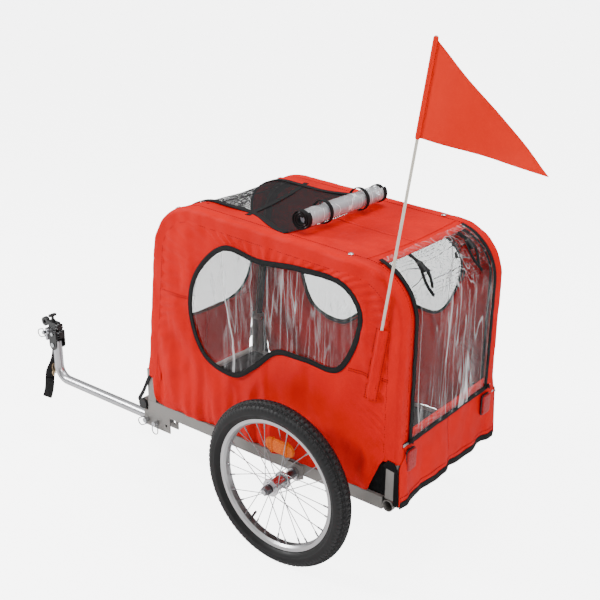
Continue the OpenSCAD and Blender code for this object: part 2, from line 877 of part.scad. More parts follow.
module rear_flap() {
    from_axle() color("white") intersection() {
        band(cloth_out + 4, 2, cover_half_w, rear_sill - 20);
        translate([0, -10, -10]) flap_box(4);
    }
}

module front_door() {
    from_axle() color("dimgray") intersection() {
        band(cloth_in + 0.5, cloth_t - 1, cover_half_w);
        door_box(0);
    }
}

roll_y = -45;
roll_z = top_z(roll_y) + cloth_out + roll_d / 2 + 2.6;

module rain_cover_roll() {
    from_axle() color("white") translate([0, roll_y, roll_z]) along_x(roll_d / 2, roll_len);
}

module roll_straps() {
    from_axle() color("black") translate([0, roll_y, roll_z]) for (x = [-70, 70]) translate([x, 0, 0])
        tube_x(roll_d + 4.4, 14, 2);
}

module side_skirt(pivot_z) {
    front = leg_front(pivot_z).x + 16;
    rear = foot_rear.x - 16;
    extrude_x(skin_x, skin_x + cloth_t)
        translate([front, rail_top + 1]) square([rear - front, pivot_z + 13 - rail_top]);
}

module side_skirts() {
    from_axle() color("red") {
        side_skirt(pivot_left);
        mirror([1, 0, 0]) side_skirt(pivot_right);
    }
}

module rear_reflectors() {
    from_axle() color("darkred") both_sides()
        translate([165, foot_rear.x + cloth_out + 0.2, 312])
            rotate([-90, 0, 0]) linear_extrude(8) rounded_rect(34, 50, 8);
}

// ---- Flag ----

module flag_pole() {
    from_axle() color("ivory") pole_axis(pocket_z0 + 6, pole_top, pole_d / 2);
}

flag_top = pole_top - 4;
flag_low = flag_top - 178;

module flag() {
    a = pole_point(flag_top);
    b = pole_point(flag_low);
    from_axle() color("orangered") difference() {
        union() {
            pole_axis(flag_low, flag_top + 3, pole_d / 2 + 2);
            extrude_x(pole_x - 0.75, pole_x + 0.75)
                polygon([a, b, [rear_reach, flag_low - 30]]);
        }
        pole_axis(flag_low - 40, flag_top + 40, pole_d / 2 + 0.1);
    }
}

// ---- Drawing ----

side_rails();
cross_tubes();
rear_cross_tube();
tube_caps();
axle_plates();
axle_bolts();
axle_nuts();
hoop_posts();
post_rivets();
floor_board();
tow_bracket();
tow_arm();
lock_pin_front();
lock_pin_rear();
lock_ring_front();
lock_ring_rear();
hitch_knuckle();
hitch_rivets();
hitch_tongue();
hitch_pin();
hitch_ring();
hitch_clamp();
clamp_kingbolt();
clamp_knob();
knuckle_knob();
safety_strap();
strap_hook();
tyre_left();
inner_tube_left();
rim_left();
spokes_left();
hub_left();
bearings_left();
spoke_reflector_left();
tyre_right();
inner_tube_right();
rim_right();
spokes_right();
hub_right();
bearings_right();
spoke_reflector_right();
side_hoop_left();
side_hoop_right();
side_panel_left();
side_panel_right();
side_window_left();
side_window_right();
window_binding_left();
window_binding_right();
canopy();
rear_panel();
rear_mesh();
rear_flap();
front_door();
rain_cover_roll();
roll_straps();
side_skirts();
rear_reflectors();
flag_pole();
flag();
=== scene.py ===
"""Looks of the bicycle trailer: cloth, film, mesh, tread and finishes on top of the CAD frame."""
import bpy
import json
import math
from mathutils import Matrix, Vector, noise


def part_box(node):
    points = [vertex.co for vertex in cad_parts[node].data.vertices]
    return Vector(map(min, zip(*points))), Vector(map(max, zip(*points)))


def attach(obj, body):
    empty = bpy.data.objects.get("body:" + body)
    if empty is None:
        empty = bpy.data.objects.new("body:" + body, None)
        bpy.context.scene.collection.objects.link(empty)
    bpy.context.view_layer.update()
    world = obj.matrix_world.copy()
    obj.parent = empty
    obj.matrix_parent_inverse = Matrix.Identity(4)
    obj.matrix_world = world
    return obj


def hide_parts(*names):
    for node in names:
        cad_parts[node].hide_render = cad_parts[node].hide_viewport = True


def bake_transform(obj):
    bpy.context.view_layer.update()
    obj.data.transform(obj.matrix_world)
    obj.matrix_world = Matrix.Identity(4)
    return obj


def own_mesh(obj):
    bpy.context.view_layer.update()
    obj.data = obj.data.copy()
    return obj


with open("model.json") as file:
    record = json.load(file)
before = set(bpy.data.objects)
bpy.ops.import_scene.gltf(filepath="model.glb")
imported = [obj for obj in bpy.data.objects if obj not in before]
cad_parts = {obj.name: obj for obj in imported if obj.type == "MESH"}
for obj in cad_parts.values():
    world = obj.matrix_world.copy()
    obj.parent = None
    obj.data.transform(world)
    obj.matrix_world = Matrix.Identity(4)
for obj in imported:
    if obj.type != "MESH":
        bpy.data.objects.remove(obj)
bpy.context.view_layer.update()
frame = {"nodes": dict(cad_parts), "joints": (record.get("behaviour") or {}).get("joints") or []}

MM = 0.001
NODES = frame["nodes"]

# ---------------------------------------------------------------- layout

wheel_lo, wheel_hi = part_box("tyre_left")
AXLE_Y = (wheel_lo[1] + wheel_hi[1]) / 2
TYRE_R = (wheel_hi[2] - wheel_lo[2]) / 2 / MM
hoop_lo, hoop_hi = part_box("side_hoop_left")
HOOP_X = (hoop_lo[0] + hoop_hi[0]) / 2 / MM
HOOP_R = (hoop_hi[0] - hoop_lo[0]) / 2 / MM
RAIL_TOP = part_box("side_rails")[1][2] / MM
ROLL_LO, ROLL_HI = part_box("rain_cover_roll")


def at(x, y, z):
    """Point in the row frame from millimetres across, behind the axle and above the ground."""
    return Vector((x * MM, y * MM + AXLE_Y, z * MM))


def behind_axle(y):
    """Millimetres behind the axle, from metres in the row frame."""
    return (y - AXLE_Y) / MM


# The hoops' outline, as [y, z] in millimetres from the axle and the ground
FOOT_FRONT = Vector((-470, 300))
CORNER_FRONT = Vector((-420, 758))
CORNER_REAR = Vector((254, 721))
FOOT_REAR = Vector((254, 300))
BEND_FRONT = 120
BEND_REAR = 110
ROOF_FROM_Z = 600


def bend(a, b, c, r, steps):
    """Centre, and (point, normal) pairs of the clockwise bend of radius r at b."""
    u, w = (a - b).normalized(), (c - b).normalized()
    turn = math.acos(max(-1, min(1, (-u).dot(w))))
    centre = b + (u + w).normalized() * (r / math.cos(turn / 2))
    start = b + u * (r * math.tan(turn / 2)) - centre
    angle = math.atan2(start.y, start.x)
    out = []
    for i in range(steps + 1):
        t = angle - turn * i / steps
        n = Vector((math.cos(t), math.sin(t)))
        out.append((centre + n * r, n))
    return out


def leg_front(z):
    return FOOT_FRONT + (CORNER_FRONT - FOOT_FRONT) * ((z - FOOT_FRONT.y) / (CORNER_FRONT.y - FOOT_FRONT.y))


def outward(n):
    """A hoop path's normal as a direction in space."""
    return Vector((0, n.x, n.y))


def straight(a, b, n, step):
    count = max(1, int((b - a).length / step))
    return [(a.lerp(b, i / count), n) for i in range(count + 1)]


def hoop_path(z_front, z_rear, step=12):
    """(point, outward normal, distance) from the front foot over the top to the rear foot."""
    front = bend(FOOT_FRONT, CORNER_FRONT, CORNER_REAR, BEND_FRONT, 16)
    rear = bend(CORNER_FRONT, CORNER_REAR, FOOT_REAR, BEND_REAR, 16)
    foot = leg_front(z_front)
    path = straight(foot, front[0][0], front[0][1], step)[:-1] + front
    path += straight(front[-1][0], rear[0][0], front[-1][1], step)[1:-1] + rear
    path += straight(rear[-1][0], Vector((FOOT_REAR.x, z_rear)), rear[-1][1], step)[1:]
    out, s = [], 0.0
    for i, (p, n) in enumerate(path):
        if i:
            s += (p - path[i - 1][0]).length
        out.append((p, n, s))
    return out


def catmull(points, steps):
    """Smooth closed curve through a list of vectors."""
    n = len(points)
    out = []
    for i in range(n):
        a, b, c, d = points[i - 1], points[i], points[(i + 1) % n], points[(i + 2) % n]
        for k in range(steps):
            t = k / steps
            out.append((2 * b + (c - a) * t + (2 * a - 5 * b + 4 * c - d) * t * t
                        + (3 * b - a - 3 * c + d) * t ** 3) / 2)
    return out


WINDOW = [Vector(p) for p in (
    (-322, 510), (-300, 610), (-215, 690), (-110, 682), (0, 690), (115, 682),
    (162, 612), (112, 492), (20, 486), (-60, 480), (-125, 425), (-190, 386), (-280, 412))]
WINDOW_CENTRE = Vector((-90, 585))


def wave(x, y, z, size, seed=0.0):
    """Smooth noise between about -1 and 1 at a feature size in millimetres."""
    return noise.noise(Vector((x / size + seed, y / size - seed * 0.7, z / size + seed * 1.3)))


def ridge(x, y, z, size, seed=0.0):
    """Creases: 0 at most places and up to 1 along thin lines."""
    return max(0.0, 1 - abs(wave(x, y, z, size, seed)) * 5)


def smooth(a, b, x):
    t = max(0.0, min(1.0, (x - a) / (b - a)))
    return t * t * (3 - 2 * t)


# ---------------------------------------------------------------- materials


class Nodes:
    """Short way to write the node tree of a new material, or of a world."""

    def __init__(self, name, world=None):
        self.owner = world or bpy.data.materials.new(name)
        self.owner.use_nodes = True
        self.tree = self.owner.node_tree
        self.tree.nodes.clear()
        self.out = self.add("ShaderNodeOutputWorld" if world else "ShaderNodeOutputMaterial")
        if not world:
            self.coord = self.add("ShaderNodeTexCoord").outputs["Object"]

    def add(self, kind, **inputs):
        node = self.tree.nodes.new(kind)
        for key, value in inputs.items():
            self.set(node, key, value)
        return node

    def set(self, node, key, value):
        if key.startswith("_"):
            setattr(node, key[1:], value)
            return
        numbered = key[0] == "i" and key[1:].isdigit()
        socket = node.inputs[int(key[1:])] if numbered else node.inputs[key.replace("__", " ")]
        if hasattr(value, "is_output") or isinstance(value, bpy.types.NodeSocket):
            self.tree.links.new(value, socket)
        else:
            socket.default_value = value

    def noise(self, scale, detail=3.0, rough=0.5, vector=None):
        node = self.add("ShaderNodeTexNoise", Scale=scale, Detail=detail, Roughness=rough)
        self.set(node, "Vector", vector or self.coord)
        return node.outputs["Fac"]

    def math(self, op, a, b=0.0):
        return self.add("ShaderNodeMath", _operation=op, i0=a, i1=b, i2=0.0).outputs[0]

    def ramp(self, fac, stops):
        node = self.add("ShaderNodeValToRGB", Fac=fac)
        el = node.color_ramp.elements
        while len(el) > len(stops):
            el.remove(el[-1])
        while len(el) < len(stops):
            el.new(1.0)
        for e, (pos, col) in zip(el, stops):
            e.position = pos
            e.color = (*col, 1.0) if len(col) == 3 else col
        return node.outputs["Color"]

    def grey_ramp(self, fac, lo, hi, a=0.0, b=1.0):
        return self.add("ShaderNodeMapRange", Value=fac, i1=lo, i2=hi, i3=a, i4=b).outputs["Result"]

    def mix(self, fac, a, b):
        node = self.add("ShaderNodeMix", _data_type="RGBA", _clamp_factor=True, i0=fac, i6=a, i7=b)
        return node.outputs[2]

    def bump(self, height, strength, distance, normal=None):
        node = self.add("ShaderNodeBump", Strength=strength, Distance=distance, Height=height)
        if normal:
            self.set(node, "Normal", normal)
        return node.outputs["Normal"]

    def weave(self, pitch):
        """Height of a plain weave from the object's own coordinates, seen along any axis."""
        sep = self.add("ShaderNodeSeparateXYZ", Vector=self.coord)
        k = 2 * math.pi / pitch
        waves = [self.math("SINE", self.math("MULTIPLY", sep.outputs[i], k)) for i in range(3)]
        a = self.math("MULTIPLY", waves[0], waves[1])
        b = self.math("MULTIPLY", waves[1], waves[2])
        c = self.math("MULTIPLY", waves[0], waves[2])
        return self.math("ADD", self.math("ADD", a, b), c)

    def principled(self, **inputs):
        return self.add("ShaderNodeBsdfPrincipled", **inputs)

    def blend(self, fac, a, b):
        """Shader a where fac is 0 and b where it is 1."""
        return self.add("ShaderNodeMixShader", Fac=fac, i1=a.outputs[0], i2=b.outputs[0])

    def finish(self, shader):
        self.tree.links.new(shader, self.out.inputs["Surface"])
        return self.owner


def rgb(r, g, b):
    return (r, g, b, 1.0)


def cloth_material(name, base, dark, light, pitch=0.0011, rough=0.5, sheen=0.02, crumple=0.8):
    n = Nodes(name)
    big = n.noise(9.0, 3.0)
    fine = n.noise(260.0, 2.0)
    tone = n.mix(n.grey_ramp(big, 0.3, 0.7), rgb(*dark), rgb(*base))
    tone = n.mix(n.grey_ramp(fine, 0.45, 0.8, 0.0, 0.35), tone, rgb(*light))
    weave = n.weave(pitch)
    normal = n.bump(weave, 0.22, 0.00025)
    normal = n.bump(n.noise(60.0, 4.0), 0.2, 0.0012, normal)
    drape = n.add("ShaderNodeMapping", Vector=n.coord)
    drape.inputs["Scale"].default_value = (1.5, 1.5, 0.7)
    normal = n.bump(n.noise(8.0, 1.0, 0.4, drape.outputs[0]), crumple, 0.03, normal)
    roughness = n.grey_ramp(big, 0.2, 0.8, rough - 0.06, rough + 0.08)
    shader = n.principled(Base__Color=tone, Roughness=roughness, Normal=normal, Sheen__Weight=sheen,
                          Sheen__Roughness=0.4, Sheen__Tint=rgb(*light),
                          Specular__IOR__Level=0.10)
    return n.finish(shader.outputs[0])


def webbing_material(name, base=(0.004, 0.004, 0.0045), light=(0.016, 0.015, 0.016)):
    n = Nodes(name)
    weave = n.weave(0.0016)
    tone = n.mix(n.grey_ramp(weave, -1.5, 1.5, 0.0, 0.6), rgb(*base), rgb(*light))
    normal = n.bump(weave, 0.5, 0.0004)
    normal = n.bump(n.noise(45.0, 3.0), 0.2, 0.001, normal)
    shader = n.principled(Base__Color=tone, Roughness=0.7, Normal=normal, Specular__IOR__Level=0.25)
    return n.finish(shader.outputs[0])


def mesh_material(name, thread, pitch, wire=0.3):
    """Open net: square holes between threads that take up a share, wire, of the pitch."""
    n = Nodes(name)
    sep = n.add("ShaderNodeSeparateXYZ", Vector=n.coord)
    k = math.pi / pitch
    u = n.math("ADD", sep.outputs[1], sep.outputs[2])
    v = n.math("ADD", sep.outputs[0], n.math("SUBTRACT", sep.outputs[2], sep.outputs[1]))
    a = n.math("ABSOLUTE", n.math("SINE", n.math("MULTIPLY", u, k)))
    b = n.math("ABSOLUTE", n.math("SINE", n.math("MULTIPLY", v, k)))
    hole = n.math("MINIMUM", a, b)
    edge = math.sin(math.pi / 2 * wire)
    mask = n.grey_ramp(hole, edge - 0.05, edge + 0.05, 0.0, 1.0)
    solid = n.principled(Base__Color=rgb(*thread), Roughness=0.6, Specular__IOR__Level=0.2,
                         Normal=n.bump(hole, 0.4, 0.0004))
    clear = n.add("ShaderNodeBsdfTransparent")
    return n.finish(n.blend(mask, solid, clear).outputs[0])


# Three sizes of white streak along thin crease lines, painted highlight, as (noise scale, sharpness, share,
# seed)
FILM_HIGHLIGHT_STREAKS = ((20.0, 75.0, 1.0, 0.0), (38.0, 50.0, 0.7, 3.0), (75.0, 24.0, 0.35, 7.0))


def film_material(name, haze=0.012, streak_light=0.3, tint=(0.97, 0.98, 0.98), gloss_share=0.85):
    """Soft clear film: see-through, with a glossy skin, a faint haze and painted highlight: white streaks
    along thin crease lines.
    """
    n = Nodes(name)
    stretch = n.add("ShaderNodeMapping", Vector=n.coord)
    stretch.inputs["Scale"].default_value = (1.0, 1.0, 0.07)
    stretch.inputs["Rotation"].default_value = (0.3, 0.1, 0.0)
    crease = n.noise(24.0, 4.0, 0.6, stretch.outputs[0])
    # The film turns white along thin lines: painted highlight streaks, added to the film's faint haze.
    haze_and_streak_light = haze
    for size, sharp, share, seed in FILM_HIGHLIGHT_STREAKS:
        place = n.add("ShaderNodeVectorMath", _operation="ADD", i0=stretch.outputs[0],
                      i1=(seed, seed, seed))
        field = n.noise(size, 1.5, 0.4, place.outputs[0])
        away = n.math("ABSOLUTE", n.math("SUBTRACT", field, 0.5))
        line = n.math("MAXIMUM", n.math("SUBTRACT", 1.0, n.math("MULTIPLY", away, sharp)), 0.0)
        patch = n.grey_ramp(n.noise(8.0, 2.0, 0.5, place.outputs[0]), 0.42, 0.62)
        haze_and_streak_light = n.math("ADD", n.math("MULTIPLY", n.math("MULTIPLY", line, patch), streak_light * share), haze_and_streak_light)
    normal = n.bump(crease, 0.35, 0.003)
    clear = n.add("ShaderNodeBsdfTransparent", Color=rgb(*tint))
    white = n.principled(Base__Color=rgb(0.95, 0.95, 0.97), Roughness=0.3, Normal=normal)
    gloss = n.add("ShaderNodeBsdfGlossy", Color=rgb(1, 1, 1), Roughness=0.05, Normal=normal)
    body = n.blend(haze_and_streak_light, clear, white)
    facing = n.add("ShaderNodeLayerWeight", Blend=0.5, Normal=normal).outputs["Facing"]
    fresnel = n.math("ADD", n.math("MULTIPLY", n.math("POWER", facing, 5.0), 0.7), 0.035)
    return n.finish(n.blend(n.math("MULTIPLY", fresnel, gloss_share), body, gloss).outputs[0])


def metal_material(name, color, rough, brushed=0.0, axis=(1, 1, 14), wear=0.04):
    n = Nodes(name)
    stretch = n.add("ShaderNodeMapping", Vector=n.coord)
    stretch.inputs["Scale"].default_value = axis
    grain = n.noise(120.0, 4.0, 0.6, stretch.outputs[0])
    spots = n.noise(22.0, 5.0, 0.6)
    tone = n.mix(n.grey_ramp(spots, 0.45, 0.75, 0.0, 0.5), rgb(*color), rgb(*[c * 0.72 for c in color]))
    roughness = n.grey_ramp(grain, 0.3, 0.7, max(0.03, rough - wear), rough + wear)
    shader = n.principled(Base__Color=tone, Metallic=1.0, Roughness=roughness,
                          Normal=n.bump(grain, brushed, 0.0003))
    return n.finish(shader.outputs[0])


def paint_material(name, color, rough, fleck=0.1, metallic=0.0, coat=0.0):
    n = Nodes(name)
    peel = n.noise(420.0, 2.0)
    dust = n.noise(14.0, 5.0, 0.6)
    tone = n.mix(n.grey_ramp(dust, 0.4, 0.75, 0.0, fleck * 4), rgb(*color),
                 rgb(*[c * 0.78 for c in color]))
    shader = n.principled(Base__Color=tone, Metallic=metallic, Coat__Weight=coat,
                          Roughness=n.grey_ramp(dust, 0.3, 0.7, rough - 0.05, rough + 0.07),
                          Normal=n.bump(peel, 0.12, 0.0003))
    return n.finish(shader.outputs[0])


def rubber_material(name, color=(0.005, 0.005, 0.0055), rough=0.5):
    n = Nodes(name)
    dust = n.noise(30.0, 5.0, 0.65)
    tone = n.mix(n.grey_ramp(dust, 0.45, 0.8, 0.0, 0.7), rgb(*color), rgb(0.013, 0.0125, 0.012))
    # Painted highlight and shade: the tread's sharp edges are painted lighter and its grooves darker.
    painted_edge_light_and_shade = n.add("ShaderNodeNewGeometry").outputs["Pointiness"]
    tone = n.mix(n.grey_ramp(painted_edge_light_and_shade, 0.51, 0.60), tone, rgb(0.055, 0.055, 0.058))
    tone = n.mix(n.grey_ramp(painted_edge_light_and_shade, 0.49, 0.42), tone, rgb(0.001, 0.001, 0.001))
    shader = n.principled(Base__Color=tone, Specular__IOR__Level=0.35,
                          Roughness=n.grey_ramp(dust, 0.3, 0.7, rough - 0.08, rough + 0.1),
                          Normal=n.bump(n.noise(380.0, 3.0), 0.25, 0.0004))
    return n.finish(shader.outputs[0])


def reflector_material(name, color, bright):
    """Moulded prisms behind a smooth coloured face, with a faint painted glow of that colour."""
    n = Nodes(name)
    cells = n.add("ShaderNodeTexVoronoi", Vector=n.coord, Scale=330.0)
    cells.distance = "CHEBYCHEV"
    edge = cells.outputs["Distance"]
    tone = n.mix(n.grey_ramp(edge, 0.0, 0.55), rgb(*bright), rgb(*color))
    shader = n.principled(Base__Color=tone, Roughness=0.3, Coat__Weight=0.08, Coat__Roughness=0.05,
                          Specular__IOR__Level=0.15, Normal=n.bump(edge, 0.5, 0.0012))
    # Painted glow: the lens gives off a little light of its own colour.
    shader.inputs["Emission Color"].default_value = rgb(*color)
    shader.inputs["Emission Strength"].default_value = 0.15
    return n.finish(shader.outputs[0])


RED = cloth_material("red_polyester", (0.80, 0.0045, 0.003), (0.70, 0.003, 0.002), (0.88, 0.012, 0.008))
THREAD = cloth_material("stitch_thread", (0.16, 0.002, 0.002), (0.11, 0.001, 0.001), (0.22, 0.005, 0.005),
                        0.0006)
BLACK_TAPE = webbing_material("black_tape")
BLACK_CLOTH = cloth_material("black_cloth", (0.006, 0.006, 0.0065), (0.004, 0.004, 0.004),
                             (0.02, 0.019, 0.02))
NET = mesh_material("black_net", (0.012, 0.011, 0.012), 0.0036, 0.56)
FINE_NET = mesh_material("fine_net", (0.010, 0.010, 0.011), 0.0032, 0.50)
REAR_NET = mesh_material("rear_net", (0.010, 0.010, 0.011), 0.0030, 0.10)
FILM = film_material("clear_film", 0.006, 0.65)
FILM_ROLL = film_material("rolled_film", 0.34, 0.9, (0.80, 0.82, 0.84), 1.6)
FLAG = cloth_material("flag_cloth", (0.92, 0.022, 0.004), (0.86, 0.018, 0.003), (0.96, 0.035, 0.008),
                      0.0009, 0.5, 0.01, 0.2)
FRAME_PAINT = paint_material("grey_powder_coat", (0.30, 0.285, 0.27), 0.40, 0.08, 0.4)
BLACK_PAINT = paint_material("black_paint", (0.006, 0.006, 0.0065), 0.34, 0.1, 0.0, 0.15)
BLACK_PLASTIC = paint_material("black_plastic", (0.006, 0.006, 0.0065), 0.4)
ARM_METAL = metal_material("drawn_aluminium", (0.58, 0.58, 0.60), 0.34, 0.05, (30, 1, 30))
ZINC = metal_material("bright_zinc", (0.52, 0.53, 0.55), 0.2, 0.04)
DARK_ZINC = metal_material("dark_zinc", (0.20, 0.20, 0.21), 0.32, 0.05)
ALLOY = metal_material("rim_alloy", (0.56, 0.56, 0.57), 0.34, 0.08, (1, 1, 1))
CHROME = metal_material("hub_chrome", (0.74, 0.74, 0.76), 0.22, 0.02)
SPOKE_STEEL = metal_material("spoke_steel", (0.36, 0.36, 0.37), 0.28, 0.02)
BRASS = metal_material("brass_hook", (0.60, 0.45, 0.26), 0.32, 0.05)
RUBBER = rubber_material("tyre_rubber")
BLACK_RUBBER = rubber_material("tube_rubber", (0.006, 0.006, 0.006), 0.5)
AMBER = reflector_material("amber_reflector", (0.62, 0.085, 0.0), (0.88, 0.20, 0.0))
RED_REFLECTOR = reflector_material("red_reflector", (0.30, 0.006, 0.008), (0.60, 0.05, 0.05))
SILVER_TAPE = metal_material("reflective_tape", (0.55, 0.54, 0.56), 0.38, 0.3)
ROD_WHITE = paint_material("fibreglass_rod", (0.78, 0.73, 0.62), 0.36, 0.12)
TAN_CORD = webbing_material("tan_cord", (0.42, 0.30, 0.18), (0.62, 0.48, 0.32))

# Finishes of the CAD nodes that stay visible
CAD_FINISH = (
    (FRAME_PAINT, "side_rails cross_tubes rear_cross_tube axle_plates hoop_posts tow_bracket"),
    (FRAME_PAINT, "side_hoop_left side_hoop_right"),
    (ARM_METAL, "tow_arm hitch_tongue"),
    (ZINC, "axle_bolts post_rivets lock_pin_front lock_pin_rear hitch_rivets hitch_pin"),
    (DARK_ZINC, "axle_nuts lock_ring_front lock_ring_rear hitch_ring"),
    (BLACK_PAINT, "hitch_knuckle hitch_clamp clamp_kingbolt"),
    (BLACK_PLASTIC, "tube_caps clamp_knob knuckle_knob"),
    (BLACK_CLOTH, "floor_board"),
    (BRASS, "strap_hook"),
    (ROD_WHITE, "flag_pole"),
    (BLACK_RUBBER, "inner_tube_left inner_tube_right"),
    (ALLOY, "rim_left rim_right"),
    (SPOKE_STEEL, "spokes_left spokes_right bearings_left bearings_right"),
    (CHROME, "hub_left hub_right"),
)
# Widths in millimetres of the rounded edges of CAD nodes
BEVELS = (
    (0.8, "tow_bracket hoop_posts clamp_kingbolt clamp_knob knuckle_knob"),
    (1.0, "hitch_knuckle axle_plates"),
    (1.2, "hitch_tongue"),
    (1.5, "floor_board"),
    (2.0, "side_rails"),
    (2.5, "hitch_clamp tube_caps"),
)
BEVEL_FROM = math.radians(40)

for material, names in CAD_FINISH:
    for name in names.split():
        node = NODES[name]
        if not node.material_slots:
            node.data.materials.append(material)
        for slot in node.material_slots:
            slot.material = material
for width, names in BEVELS:
    for name in names.split():
        mod = NODES[name].modifiers.new("edge", "BEVEL")
        mod.width = width * MM
        mod.segments = 2
        mod.limit_method = "ANGLE"
        mod.angle_limit = BEVEL_FROM

# ---------------------------------------------------------------- mesh helpers


def add_piece(name, verts, faces, material, body, replaces=()):
    """Smooth mesh on a body, or on none."""
    mesh = bpy.data.meshes.new(name)
    mesh.from_pydata([tuple(v) for v in verts], [], faces)
    mesh.validate()
    mesh.update()
    mesh.polygons.foreach_set("use_smooth", [True] * len(mesh.polygons))
    mesh.materials.append(material)
    obj = bpy.data.objects.new(name, mesh)
    bpy.context.scene.collection.objects.link(obj)
    if body:
        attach(obj, body)
    if replaces:
        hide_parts(*replaces)
    return obj


def thicken(obj, t):
    mod = obj.modifiers.new("thickness", "SOLIDIFY")
    mod.thickness = t * MM
    mod.offset = 0.0
    return obj


def subdivide(obj):
    mod = obj.modifiers.new("smooth", "SUBSURF")
    mod.levels = 1
    mod.render_levels = 1
    return obj


def grid_faces(rows, cols, wrap_rows=False, wrap_cols=False):
    faces = []
    for i in range(rows if wrap_rows else rows - 1):
        for j in range(cols if wrap_cols else cols - 1):
            a = i * cols + j
            b = i * cols + (j + 1) % cols
            c = ((i + 1) % rows) * cols + (j + 1) % cols
            d = ((i + 1) % rows) * cols + j
            faces.append((a, b, c, d))
    return faces


def tube_faces(rings, m):
    """Faces of a tube of rings of m points each, closed at both ends."""
    ends = [tuple(reversed(range(m))), tuple(range((rings - 1) * m, rings * m))]
    return grid_faces(rings, m, False, True) + ends


def full_turn(n):
    """Angles of n even steps round a circle."""
    return [2 * math.pi * i / n for i in range(n)]


def frames_along(points, closed=False):
    """(point, tangent) along a polyline."""
    n = len(points)
    out = []
    for i, p in enumerate(points):
        a = points[(i - 1) % n] if closed or i else points[0]
        b = points[(i + 1) % n] if closed or i < n - 1 else points[-1]
        out.append((p, (b - a).normalized()))
    return out


def sweep(points, section, closed=False, up=Vector((0, 0, 1))):
    """Vertices and faces of a section, a list of (across, up) offsets in mm, swept along points.

    up may be a vector or one vector per point.
    """
    verts, m = [], len(section)
    for i, (p, t) in enumerate(frames_along(points, closed)):
        u = up[i] if isinstance(up, list) else up
        across = t.cross(u).normalized()
        lift = across.cross(t).normalized()
        for a, b in section:
            verts.append(p + across * (a * MM) + lift * (b * MM))
    return verts, grid_faces(len(points), m, True, True) if closed else tube_faces(len(points), m)


def round_section(r, n=10, squeeze=1.0):
    return [(r * math.cos(a), r * squeeze * math.sin(a)) for a in full_turn(n)]


def tape_section(w, t, n=3):
    """Flat tape of width w and thickness t with rounded edges."""
    out = []
    for side in (1, -1):
        for i in range(n + 1):
            a = math.pi / 2 * (1 - 2 * i / n)
            out.append((side * (w / 2 - t / 2 + t / 2 * math.cos(a)), side * t / 2 * math.sin(a)))
    return out


def cord(name, points, r, material, body, closed=False, squeeze=1.0, up=Vector((0, 0, 1)), sides=10):
    verts, faces = sweep(points, round_section(r, sides, squeeze), closed, up)
    return add_piece(name, verts, faces, material, body)


def tape(name, points, w, t, body, up, closed=False, material=BLACK_TAPE):
    verts, faces = sweep(points, tape_section(w, t), closed, up)
    return add_piece(name, verts, faces, material, body)


def resample(points, step, closed=False):
    """Points spaced evenly, step apart in metres."""
    pts = points + [points[0]] if closed else points
    lengths = [0.0]
    for a, b in zip(pts, pts[1:]):
        lengths.append(lengths[-1] + (b - a).length)
    count = max(2, round(lengths[-1] / step))
    out, k = [], 0
    for i in range(count if closed else count + 1):
        s = lengths[-1] * i / count
        while k < len(lengths) - 2 and lengths[k + 1] < s:
            k += 1
        span = lengths[k + 1] - lengths[k] or 1.0
        out.append(pts[k].lerp(pts[k + 1], (s - lengths[k]) / span))
    return out


# Rings of one stitch, as (place along it, share of its thickness)
STITCH = ((-0.5, 0.35), (-0.3, 1.0), (0.3, 1.0), (0.5, 0.35))


def stitches(name, points, normal, body, material=THREAD, length=3.8, gap=2.0, r=0.7, closed=False):
    """A row of short raised stitches along a line. normal is a vector, or a function of the point."""
    pts = resample(points, (length + gap) * MM, closed)
    verts, faces = [], []
    ring = 6
    for p, t in frames_along(pts, closed):
        n = normal(p) if callable(normal) else normal
        across = t.cross(n).normalized()
        faces += [tuple(len(verts) + v for v in face) for face in tube_faces(len(STITCH), ring)]
        for s, fat in STITCH:
            for a in full_turn(ring):
                verts.append(p + t * (s * length * MM) + across * (math.cos(a) * r * fat * MM)
                             + n * ((math.sin(a) * fat * 0.8 + 0.2) * r * MM))
    return add_piece(name, verts, faces, material, body)


SIDES = ((1, "left"), (-1, "right"))
PIVOT = {1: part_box("hoop_posts")[0][2] / MM, -1: 0.0}
for joint in frame["joints"]:
    if joint["name"] in ("left_side_fold", "right_side_fold"):
        PIVOT[1 if joint["name"].startswith("left") else -1] = joint["pos_m"][2] / MM

# ---------------------------------------------------------------- hoop sleeves

SLEEVE_R = HOOP_R + 4


